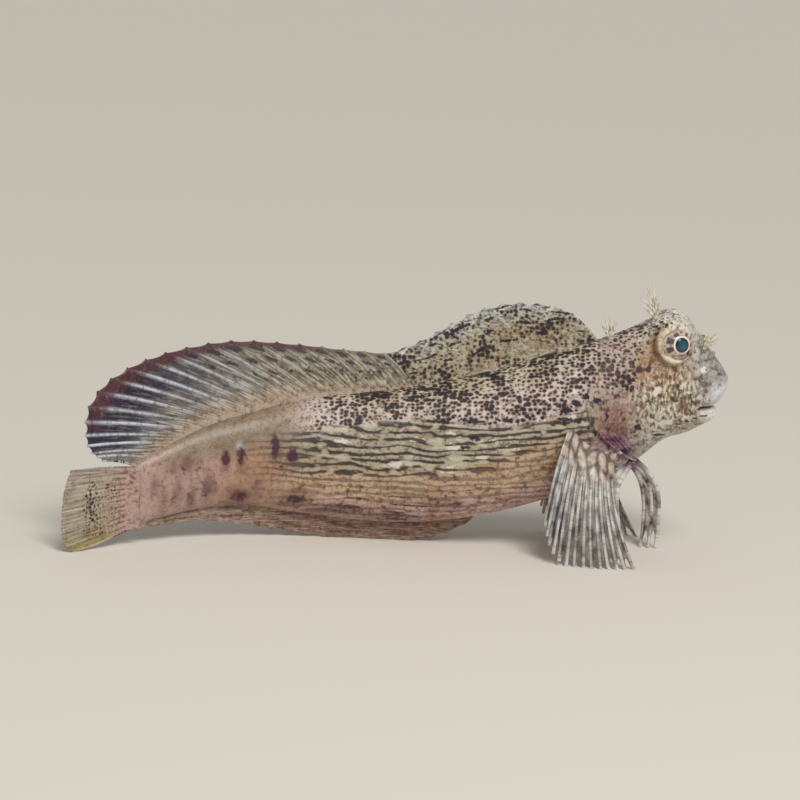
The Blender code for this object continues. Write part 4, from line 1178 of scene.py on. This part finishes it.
def make_fin(name, node, slot, surface, shape, painter, finishes, tree):
    """One fin: a thin skin with its rays standing out on both faces."""
    film_finish, ray_finish = finishes
    skin = membrane(name, surface, shape, painter)
    skin.data.materials.append(film_finish)
    along_ray = np.linspace(0.0, 1.0, RAY_POINTS)
    middles = np.linspace(0, 1, shape.rays)[:, None, None]
    tips = np.array([-1, 1] if shape.forks else [0])[None, :, None]
    a = middles + tips * shape.forks / (shape.rays - 1) * rise(along_ray, 0.35, 1.0)
    a = np.clip(a.reshape(-1, RAY_POINTS), 0, 1)
    b = np.broadcast_to(along_ray, a.shape)
    lines = surface(a, b)
    radius = shape.ray_width / 2 * (1 - (1 - shape.taper) * b)
    facing = facing_of(surface, a, b)
    paint = painter(a, b, lines, True)
    strands = make_strands(name + "_rays", lines, radius, facing, paint, tree, shape.flatness, ray_finish)
    with bpy.context.temp_override(active_object=skin, selected_editable_objects=[skin, strands]):
        bpy.ops.object.join()
    settle_on_floor(skin.data)
    finish_piece(skin, slot, node)


# The fins' paint, by share of the way along the fin and out to its edge, for the film or the rays

def spiny_painter(a, b, place, on_ray):
    """Spiny fin: the back's greenish cream, with dark marks, pale streaks at its edge and slender spines."""
    paint = plain_paint(place, SPINY_CREAM, mottle=1.0)
    count = a * (SPINY.rays - 1)
    lay_grounds(paint, (
        (SPINY_MARGIN, rise(b, 0.55, 0.95) * 0.8),
        (SPINY_FOOT, rise(b, 0.45, 0.1) * 0.6),
        (SPINE_LIGHT, rise(b, 0.0, 0.3) * (0.30 if on_ray else 0.0)),
    ))
    crowding = np.sin(count * 1.1 + 3.0 * b) * np.sin(count * 0.53 - 7.0 * b + 1.0)
    paint["dots"] = (0.82 + 0.35 * crowding) * rise(b, 1.0, 0.9)
    marks = np.zeros(b.shape)
    for level, shift, height in SPINY_MARKS:
        beat = wave(TAU * (count * 0.52 + shift + 0.25 + 0.16 * np.sin(count * 2.3)))
        drift = level + 0.03 * np.sin(count * 1.9 + level * 9)
        marks = np.maximum(marks, beat * bump_at(b, drift, height))
    paint["navy"] = marks * 0.95
    paint["pale"] = 0.62 * rise(b, 0.70, 0.9) * wave(count * 4.3 + b * 23.0) ** 2
    paint["weave"] = place * (0.9, 1.0, 2.6)
    paint["flecks"] = 0.35 + 0.35 * rise(b, 0.5, 0.9)
    paint["film"] = 0.98 - 0.12 * rise(b, 0.7, 1.0)
    paint["gloss"] = paint["film"] * 0.3
    return paint


def soft_painter(a, b, place, on_ray):
    """Soft fin: streaked smoky skin, pale rays, dark dashes, a wine-red margin, and navy gaps at the rear."""
    paint = plain_paint(place, SOFT_RAY if on_ray else SOFT_FILM, mottle=0.7, gloss=0.6)
    count = a * (SOFT.rays - 1)
    between = np.abs(np.sin(pi * count))
    rear = rise(a, 0.25, 0.65)
    low_rays = rise(a, 0.86, 0.95)
    margin = rise(b, 0.78, 0.93) * rise(a, 0.84, 0.70) * rise(a, 0.04, 0.22)
    if on_ray:
        lay_grounds(paint, (
            (SILVER_RAY, rear * rise(b, 0.2, 0.6) * (1 - 0.4 * low_rays)),
            (FIN_BASE, rise(b, 0.40, 0.10)),
            (WINE_RAY, margin * 0.95),
        ))
    else:
        lay_grounds(paint, (
            (SMOKE, rear * (1 - 0.5 * low_rays)),
            (NAVY_GAP, rear * rise(b, 0.36, 0.60) * rise(a, 0.28, 0.55) * (1 - 0.9 * low_rays)),
            (SILVER_EDGE, rear * rise(b, 0.25, 0.5) * rise(between, 0.66, 0.30) * (0.8 - 0.3 * low_rays)),
            (FIN_BASE, rise(b, 0.40, 0.08)),
            (WINE_FILM, margin * 0.92),
        ))
        clear = 0.95 - 0.22 * rise(b, 0.15, 0.6) + 0.22 * rear * rise(b, 0.5, 0.75)
        paint["film"] = np.clip(clear, 0, 1)
    dashes = np.zeros(b.shape)
    for level, ahead, strength in SOFT_DASHES:
        phase = np.abs((count - ahead + 0.5) % 1.0 - 0.5)
        dashes = np.maximum(dashes, strength * bump_at(b, level, 0.075) * bump_at(phase, 0.0, 0.27))
    last = rise(a, 0.975, 0.998) * rise(b, 0.2, 0.4) * wave(b * 57.0 + 2 * np.sin(b * 23.0))
    paint["navy"] = np.maximum(dashes * rise(a, 0.62, 0.36) * 1.1, last * 0.8)
    paint["dots"] = 0.55 * rise(a, 0.5, 0.1) * rise(b, 0.9, 0.6)
    paint["weave"] = flat_place(count * 5.2, b * 6.5)
    outside_gaps = 1 - 0.75 * rear * rise(b, 0.34, 0.56)
    paint["flecks"] = (0.2 if on_ray else 0.62) * rise(b, 0.05, 0.25) * rise(b, 0.92, 0.75) * outside_gaps
    return paint


def anal_painter(a, b, place, on_ray):
    """Anal fin: rosy brown, with dark streaks along it."""
    paint = plain_paint(place, ANAL_BROWN, flecks=0.35, mottle=0.7, gloss=0.4)
    streak = bump_at(b, 0.34 + 0.08 * np.sin(a * 21), 0.09) + bump_at(b, 0.66 + 0.06 * np.sin(a * 17), 0.08)
    lay_grounds(paint, (
        (ANAL_REAR, rise(a, 0.45, 0.9) * 0.6),
        # The belly's colour at the root, painted lighter as painted light against the shade under the body.
        (ROSY_BELLY_AND_LIGHT, rise(b, 0.25, 0.02)),
        (ANAL_STREAK, streak * (0.55 + 0.35 * np.sin(a * 37.0))),
        (ANAL_RAY, 0.30 if on_ray else 0.0),
    ))
    paint["weave"] = place * (0.45, 1.0, 3.6)
    paint["film"] = 0.95 - 0.30 * rise(b, 0.5, 1.0)
    return paint


def caudal_painter(a, b, place, on_ray):
    """Tail fin: clear olive beige and mauve at its root, with rows of fine dots and a yellower lower edge."""
    paint = plain_paint(place, CAUDAL_BEIGE, gloss=0.4)
    lay_grounds(paint, (
        (CAUDAL_LOWER, rise(a, 0.62, 0.97)),
        (CAUDAL_UPPER, rise(a, 0.22, 0.02) * 0.8),
        (CAUDAL_RAY, 0.25 if on_ray else 0.0),
        (MAUVE_STALK, rise(b, 0.55, 0.12)),
    ))
    count = a * (CAUDAL.rays - 1)
    paint["lattice"] = flat_place(count * 1.55, b * 21.0)
    paint["dots"] = 0.78 * rise(b, 0.12, 0.3) * rise(b, 0.88, 0.62) * rise(a, 0.05, 0.2) * rise(a, 0.95, 0.85)
    paint["weave"] = flat_place(count * 3.4, b * 2.2)
    paint["flecks"] = 0.45 * rise(b, 0.15, 0.5)
    paint["mottle"] = 0.8 - 0.3 * rise(b, 0.1, 0.5)
    paint["film"] = 0.96 - 0.28 * rise(b, 0.2, 0.8) * rise(a, 0.98, 0.8)
    return paint


def pectoral_painter(a, b, place, on_ray):
    """Pectoral fin: broad whitish rays with soft slate spots, pale ovals at the root, smoky skin and painted
    shadow between the rays.
    """
    paint = plain_paint(place, PECTORAL_RAY if on_ray else PECTORAL_FILM, mottle=0.6, gloss=0.5)
    count = a * (PECTORAL.rays - 1)
    between = np.abs(np.sin(pi * count))
    ovals = np.cos(count * 1.2 + 0.9 * np.sin(b * 14.0)) * np.cos(b * 21.0 + 0.8 * np.sin(count * 0.9))
    at_root = rise(b, 0.44, 0.26)
    # Painted shadow in the gaps between the front rays, near the fin's edge.
    gap_shadow = between**0.6 * rise(b, 0.60, 0.72) * rise(b, 1.0, 0.94) * rise(a, 0.40, 0.28)
    spots = np.zeros(b.shape)
    for level, strength in PECTORAL_SPOTS:
        drift = level + 0.035 * np.sin(count * 1.9 + level * 14)
        beat = wave(count * 2.9 + level * 31)
        spots = np.maximum(spots, strength * bump_at(b, drift, 0.050) * rise(beat, 0.15, 0.50))
    lay_grounds(paint, (
        (PECTORAL_FOOT, at_root),
        (PECTORAL_OVAL, at_root * rise(np.abs(ovals), 0.10, 0.65)),
        (PECTORAL_SPOT, spots * (0.6 if on_ray else 0.95) * (1 - at_root)),
        (SLATE_GAP_SHADOW, gap_shadow * (0.0 if on_ray else 0.95)),
    ))
    paint["weave"] = flat_place(count * 3.4, b * 7.0)
    paint["flecks"] = 0.35 * rise(b, 0.18, 0.35) * (1 - 0.7 * spots)
    if not on_ray:
        paint["film"] = 0.98 - 0.35 * rise(b, 0.3, 0.8)
    return paint


def pelvic_painter(a, b, place, on_ray):
    """Pelvic fin: pale, with uneven black spots down its front."""
    paint = plain_paint(place, PELVIC_PALE, flecks=0.4, mottle=0.6, gloss=0.4)
    spots = np.zeros(b.shape)
    for level, side, length in PELVIC_SPOTS:
        spots = np.maximum(spots, bump_at(b, level, length) * bump_at(a, side, 0.22))
    lay_grounds(paint, (
        (PELVIC_ROOT, rise(b, 0.20, 0.03)),
        (PELVIC_FILM, rise(b, 0.2, 0.5) * (0.0 if on_ray else 0.8)),
        (PELVIC_SPOT, spots),
    ))
    paint["weave"] = flat_place(a * 7.0, b * 8.0)
    return paint


def make_middle_fins(finishes, tree):
    """The fins on the midline: spiny and soft dorsal, anal and tail fin."""
    def dorsal_root(start, end):
        def root(a):
            u = start + (end - start) * a
            return upright(np.stack([u, body_line(u, True) - ROOT_SUNK], axis=-1))
        return root

    def anal_root(a):
        u = ANAL_START + (ANAL_END - ANAL_START) * a
        return upright(np.stack([u, body_line(u, False) + ROOT_SUNK], axis=-1))

    def caudal_root(a):
        top_u, top_z, low_u, low_z = BODY_RINGS[-1][:4]
        u = top_u + (low_u - top_u) * a - CAUDAL_SUNK
        return upright(np.stack([u, top_z + (low_z - top_z) * a], axis=-1))

    spiny = fan(dorsal_root(DORSAL_START, DORSAL_SPLIT), lambda a: upright(along(SPINY_EDGE, a)),
                lambda a: DORSAL_BOW * (0.5 + 0.5 * a)[..., None])
    soft = fan(dorsal_root(DORSAL_SPLIT, DORSAL_END),
               lambda a: upright(along(SOFT_EDGE, a + SOFT_CROWDING * np.sin(pi * a**1.6))),
               lambda a: DORSAL_BOW)
    anal = fan(anal_root, lambda a: upright(along(ANAL_EDGE, a)), lambda a: ANAL_BOW)
    caudal = fan(caudal_root, lambda a: upright(along(CAUDAL_EDGE, a)),
                 lambda a: (0.5 - a)[..., None] * (0, 0, 1))
    for name, node, slot, surface, shape, painter in (
        ("spiny_dorsal_fin", "dorsal_fin_front", "spiny_fin", spiny, SPINY, spiny_painter),
        ("soft_dorsal_fin", "dorsal_fin_rear", "soft_fin", soft, SOFT, soft_painter),
        ("anal_fin_skin", "anal_fin", "anal_fin", anal, ANAL, anal_painter),
        ("tail_fin_skin", "caudal_fin", "caudal_fin", caudal, CAUDAL, caudal_painter),
    ):
        make_fin(name, node, slot, surface, shape, painter, finishes, tree)


def make_paired_fins(side, word, finishes, tree):
    """The pectoral and pelvic fin of one side."""
    across = np.array([1.0, side, 1.0])

    def pelvic(a, b):
        width = PELVIC_ROOT_WIDTH + (PELVIC_WIDTH - PELVIC_ROOT_WIDTH) * np.sin(pi * np.minimum(b, 0.5))
        run = ((a - 0.5) * width)[..., None] * (1, 0, 0)
        return (along(PELVIC_PATHS[word], b) + run) * across

    pectoral = fan(lambda a: along(PECTORAL_ROOT, a) * across, lambda a: along(PECTORAL_EDGE, a) * across,
                   lambda a: (PECTORAL_BOW + PECTORAL_FRONT_BOW * (a**3)[..., None]) * across)
    for kind, surface, shape, painter in (
        ("pectoral", pectoral, PECTORAL, pectoral_painter),
        ("pelvic", pelvic, PELVIC, pelvic_painter),
    ):
        make_fin(f"{kind}_skin_{word}", f"{kind}_fin_{word}", "paired_fin", surface, shape, painter, finishes,
                 tree)


def make_tuft(name, tuft, side, material, node, tree):
    """A tuft of tapered filaments from one root: cream, with two faint dark bands."""
    root, tips = tuft
    b = np.linspace(0, 1, TUFT_POINTS)[None, :, None]
    number = np.arange(len(tips))[:, None, None]
    bow = TUFT_BOW * np.concatenate([np.cos(number * 2.1), np.sin(number * 1.7), number**0], axis=-1)
    lines = bowed(np.array(root), np.array(tips)[:, None, :], bow, b) * (1, side, 1)
    share = np.broadcast_to(b[..., 0], lines.shape[:-1])
    paint = plain_paint(lines, TUFT_CREAM, mottle=0.3, gloss=0.3)
    bands = bump_at(share, 0.22, 0.06) + bump_at(share, 0.5, 0.07)
    lay_grounds(paint, ((TUFT_BAND, bands * 0.6),))
    radius = TUFT_ROOT_RADIUS + (TUFT_TIP_RADIUS - TUFT_ROOT_RADIUS) * share**0.7
    facing = np.broadcast_to(np.array([0.0, 1.0, 0.0]), lines.shape)
    piece = make_strands(name, lines, radius, facing, paint, tree, 1.0, material)
    finish_piece(piece, "cirrus", node)


# Finishes

def new_material(name):
    """A node material and its empty tree."""
    material = bpy.data.materials.new(name)
    material.use_nodes = True
    material.node_tree.nodes.clear()
    return material, material.node_tree


def colour_of(code):
    """A hex colour as a linear socket value."""
    return (*linear(code), 1.0)


def lay_on(tree, below, patterns, masks, layers):
    """Lays colours over each other, each by how far its pattern has risen between two values."""
    for pattern, start, full, strength, mask, way, code in layers:
        amount = add_node(tree, "ShaderNodeMapRange", {
            "interpolation_type": "SMOOTHSTEP", "From Min": start, "From Max": full, "To Max": strength}, {
            "Value": patterns[pattern]}).outputs["Result"]
        if mask:
            amount = add_node(tree, "ShaderNodeMath", {"operation": "MULTIPLY"}, {
                0: amount, 1: masks[mask]}).outputs["Value"]
        mixed = add_node(tree, "ShaderNodeMix", {
            "data_type": "RGBA", "blend_type": way, 7: colour_of(code)}, {0: amount, 6: below})
        below = mixed.outputs[2]
    return below


def skin_patterns(tree):
    """The paint on the points as sockets by name, and the patterns of the skin made from it."""
    paint = {}
    for key in PLACES:
        paint[key] = add_node(tree, "ShaderNodeAttribute", {"attribute_name": key}).outputs["Vector"]
    for key, names in CHANNELS.items():
        held = add_node(tree, "ShaderNodeAttribute", {"attribute_name": key})
        paint[key] = held.outputs["Color"]
        split = add_node(tree, "ShaderNodeSeparateColor", {}, {"Color": held.outputs["Color"]})
        paint.update(zip(names, (*split.outputs[:3], held.outputs["Alpha"])))

    patterns = {}
    colours = {}
    for name, (vector, waves, detail, roughness) in NOISES.items():
        stretched = add_node(tree, "ShaderNodeMapping", {"Scale": waves}, {"Vector": paint[vector]})
        noise = add_node(tree, "ShaderNodeTexNoise", {
            "Scale": 1.0, "Detail": detail, "Roughness": roughness}, {"Vector": stretched.outputs["Vector"]})
        patterns[name] = noise.outputs["Fac"]
        colours[name] = noise.outputs["Color"]

    # Stains get ragged edges from noise.
    for name in CHANNELS["marks"]:
        ragged = add_node(tree, "ShaderNodeMath", {"operation": "MULTIPLY_ADD", 1: STAIN_RAGGEDNESS}, {
            0: patterns["ragged"], 2: paint[name]})
        patterns[name] = ragged.outputs["Value"]

    # Dark lines sway along the flank, and thin out or break here and there.
    flow = paint["flow"]
    for name, factor in (("sway", LINE_SWAY), ("ripple", LINE_RIPPLE)):
        flow = add_node(tree, "ShaderNodeMath", {"operation": "MULTIPLY_ADD", 1: factor}, {
            0: patterns[name], 2: flow}).outputs["Value"]
    folded = add_node(tree, "ShaderNodeMath", {"operation": "PINGPONG", 1: 0.5}, {0: flow})
    low, high = LINE_BREAKS
    thin, thick = LINE_WIDTHS
    width = add_node(tree, "ShaderNodeMapRange", {
        "From Min": low, "From Max": high, "To Min": thin, "To Max": thick}, {"Value": patterns["breaks"]})
    patterns["lines"] = add_node(tree, "ShaderNodeMath", {"operation": "SUBTRACT"}, {
        0: width.outputs["Result"], 1: folded.outputs["Value"]}).outputs["Value"]

    # Fine dots sit in the cells of a lattice, and merge into short worms where they crowd.
    shifted = add_node(tree, "ShaderNodeVectorMath", {"operation": "MULTIPLY_ADD", 1: (DOT_WOBBLE,) * 3}, {
        0: colours["wobble"], 2: paint["lattice"]})
    cell = add_node(tree, "ShaderNodeTexVoronoi", {
        "voronoi_dimensions": "2D", "Scale": 1.0, "Randomness": DOT_RANDOMNESS}, {
        "Vector": shifted.outputs["Vector"]})
    chance = add_node(tree, "ShaderNodeSeparateColor", {}, {"Color": cell.outputs["Color"]}).outputs[0]
    small, large = DOT_SIZES
    size = add_node(tree, "ShaderNodeMapRange", {"clamp": False, "To Min": small, "To Max": large}, {
        "Value": paint["dots"]}).outputs["Result"]
    for factor, source in ((DOT_CROWDING, patterns["crowd"]), (DOT_VARIATION, chance)):
        size = add_node(tree, "ShaderNodeMath", {"operation": "MULTIPLY_ADD", 1: factor}, {
            0: source, 2: size}).outputs["Value"]
    patterns["dots"] = add_node(tree, "ShaderNodeMath", {"operation": "SUBTRACT"}, {
        0: size, 1: cell.outputs["Distance"]}).outputs["Value"]

    # Larger spots lie on the side of the head, a little over two millimetres apart.
    spot = add_node(tree, "ShaderNodeTexVoronoi", {"Scale": SPOT_WAVES, "Randomness": SPOT_RANDOMNESS}, {
        "Vector": paint["place"]})
    small, large = SPOT_SIZES
    size = add_node(tree, "ShaderNodeMapRange", {"To Min": small, "To Max": large}, {"Value": paint["spots"]})
    patterns["spots"] = add_node(tree, "ShaderNodeMath", {"operation": "SUBTRACT"}, {
        0: size.outputs["Result"], 1: spot.outputs["Distance"]}).outputs["Value"]
    return paint, patterns


def live_skin(name, through, grain):
    """Wet fish skin: pigment under a thin slime coat, which gives soft lights and fine grain.

    through lets the film of a fin show what is behind it.
    """
    material, tree = new_material(name)
    paint, patterns = skin_patterns(tree)
    relief = add_node(tree, "ShaderNodeMath", {"operation": "ADD"}, {
        0: patterns["grains"], 1: patterns["cells"]})
    bumps = add_node(tree, "ShaderNodeBump", {"Strength": grain, "Distance": GRAIN_HEIGHT}, {
        "Height": relief.outputs["Value"]})
    dry, moist = SKIN_ROUGHNESS
    rough = add_node(tree, "ShaderNodeMapRange", {"To Min": dry, "To Max": moist}, {"Value": paint["gloss"]})
    links = {
        "Base Color": lay_on(tree, paint["ground"], patterns, paint, SKIN_LAYERS),
        "Normal": bumps.outputs["Normal"], "Roughness": rough.outputs["Result"],
    }
    if through:
        links["Alpha"] = paint["film"]
    shader = add_node(tree, "ShaderNodeBsdfPrincipled", SKIN_SHADER, links)
    add_node(tree, "ShaderNodeOutputMaterial", {}, {"Surface": shader.outputs["BSDF"]})
    return material


def eye_finish():
    """A fish eye: teal lens in a silver ring, and a pale iris with dark patches, under a wet glassy coat."""
    material, tree = new_material("eye_with_patched_iris")
    gaze = add_node(tree, "ShaderNodeAttribute", {"attribute_name": "gaze"}).outputs["Vector"]
    iris = add_node(tree, "ShaderNodeAttribute", {"attribute_name": "iris"}).outputs["Color"]
    parts = add_node(tree, "ShaderNodeSeparateXYZ", {}, {"Vector": gaze})
    grain = add_node(tree, "ShaderNodeTexNoise", EYE_GRAIN, {"Vector": gaze})
    patterns = {"grain": grain.outputs["Fac"], "reach": parts.outputs["Z"]}
    colour = lay_on(tree, iris, patterns, {}, EYE_LAYERS)
    shader = add_node(tree, "ShaderNodeBsdfPrincipled", EYE_SHADER, {"Base Color": colour})
    add_node(tree, "ShaderNodeOutputMaterial", {}, {"Surface": shader.outputs["BSDF"]})
    return material


# Stage

def link_light(name, data, location, towards):
    """Puts a lamp into the scene, shining the way that towards points."""
    lamp = bpy.data.objects.new(name, data)
    bpy.context.scene.collection.objects.link(lamp)
    lamp.location = location
    lamp.rotation_mode = "QUATERNION"
    lamp.rotation_quaternion = Vector(towards).to_track_quat("-Z", "Y")


def make_stage():
    """Pale floor, an even room, a broad key light and a small one that puts a gleam in the eye."""
    mesh = bpy.data.meshes.new("floor")
    corners = [(x * FLOOR_HALF, y * FLOOR_HALF, FLOOR_DROP) for x, y in ((-1, -1), (1, -1), (1, 1), (-1, 1))]
    mesh.from_pydata(corners, [], [(0, 1, 2, 3)])
    floor = bpy.data.objects.new("floor", mesh)
    bpy.context.scene.collection.objects.link(floor)
    material, tree = new_material("pale_matt_floor")
    shader = add_node(tree, "ShaderNodeBsdfPrincipled", {
        "Base Color": colour_of(FLOOR_COLOUR), "Roughness": FLOOR_ROUGHNESS})
    add_node(tree, "ShaderNodeOutputMaterial", {}, {"Surface": shader.outputs["BSDF"]})
    mesh.materials.append(material)
    world = bpy.data.worlds.new("soft_room")
    world.use_nodes = True
    world.node_tree.nodes.clear()
    room = add_node(world.node_tree, "ShaderNodeBackground", {
        "Color": colour_of(ROOM_COLOUR), "Strength": ROOM_STRENGTH})
    add_node(world.node_tree, "ShaderNodeOutputWorld", {}, {"Surface": room.outputs["Background"]})
    bpy.context.scene.world = world
    key = bpy.data.lights.new("key", "SUN")
    key.energy = KEY_STRENGTH
    key.angle = KEY_BREADTH
    key.color = linear(KEY_COLOUR)
    link_light("key", key, (0, 0, 0), KEY_WAY)
    gleam = bpy.data.lights.new("gleam", "AREA")
    gleam.size = GLEAM_SIZE
    gleam.energy = GLEAM_POWER
    link_light("gleam", gleam, GLEAM_SPOT, Vector(GLEAM_TARGET) - Vector(GLEAM_SPOT))


def make_camera():
    """The camera, at the photograph's angle."""
    forward = np.array([0.0, np.cos(CAMERA_RISE), -np.sin(CAMERA_RISE)])
    level = np.array([1.0, 0.0, 0.0])
    above = np.array([0.0, np.sin(CAMERA_RISE), np.cos(CAMERA_RISE)])
    right = np.cos(CAMERA_ROLL) * level + np.sin(CAMERA_ROLL) * above
    up = -np.sin(CAMERA_ROLL) * level + np.cos(CAMERA_ROLL) * above
    spot = (CAMERA_TARGET - forward * CAMERA_DISTANCE + OFFSET) * MM
    data = bpy.data.cameras.new("camera")
    data.lens = CAMERA_LENS
    data.sensor_width = SENSOR
    data.clip_start = CAMERA_NEAR
    camera = bpy.data.objects.new("camera", data)
    bpy.context.scene.collection.objects.link(camera)
    turned = Matrix((right, up, -forward)).transposed().to_4x4()
    camera.matrix_world = Matrix.Translation(Vector(spot)) @ turned
    bpy.context.scene.camera = camera


def main():
    """Dresses the fish."""
    film = live_skin("clear_fin_film", True, GRAIN_ON_FILM)
    rays = live_skin("fin_ray_skin", False, GRAIN_ON_RAYS)
    tree = strand_tree()
    glossy = eye_finish()
    make_skin(live_skin("wet_spotted_skin", False, GRAIN_ON_BODY))
    make_middle_fins((film, rays), tree)
    for side, word in ((1, "left"), (-1, "right")):
        make_eye(side, "eyeball_" + word, "eye_" + word, glossy)
        make_paired_fins(side, word, (film, rays), tree)
        for part, tuft in TUFTS.items():
            make_tuft(f"{part}_tuft_{word}", tuft, side, rays, f"{part}_cirrus_{word}", tree)
    make_stage()
    make_camera()
    bpy.context.scene.view_settings.view_transform = "Standard"


main()
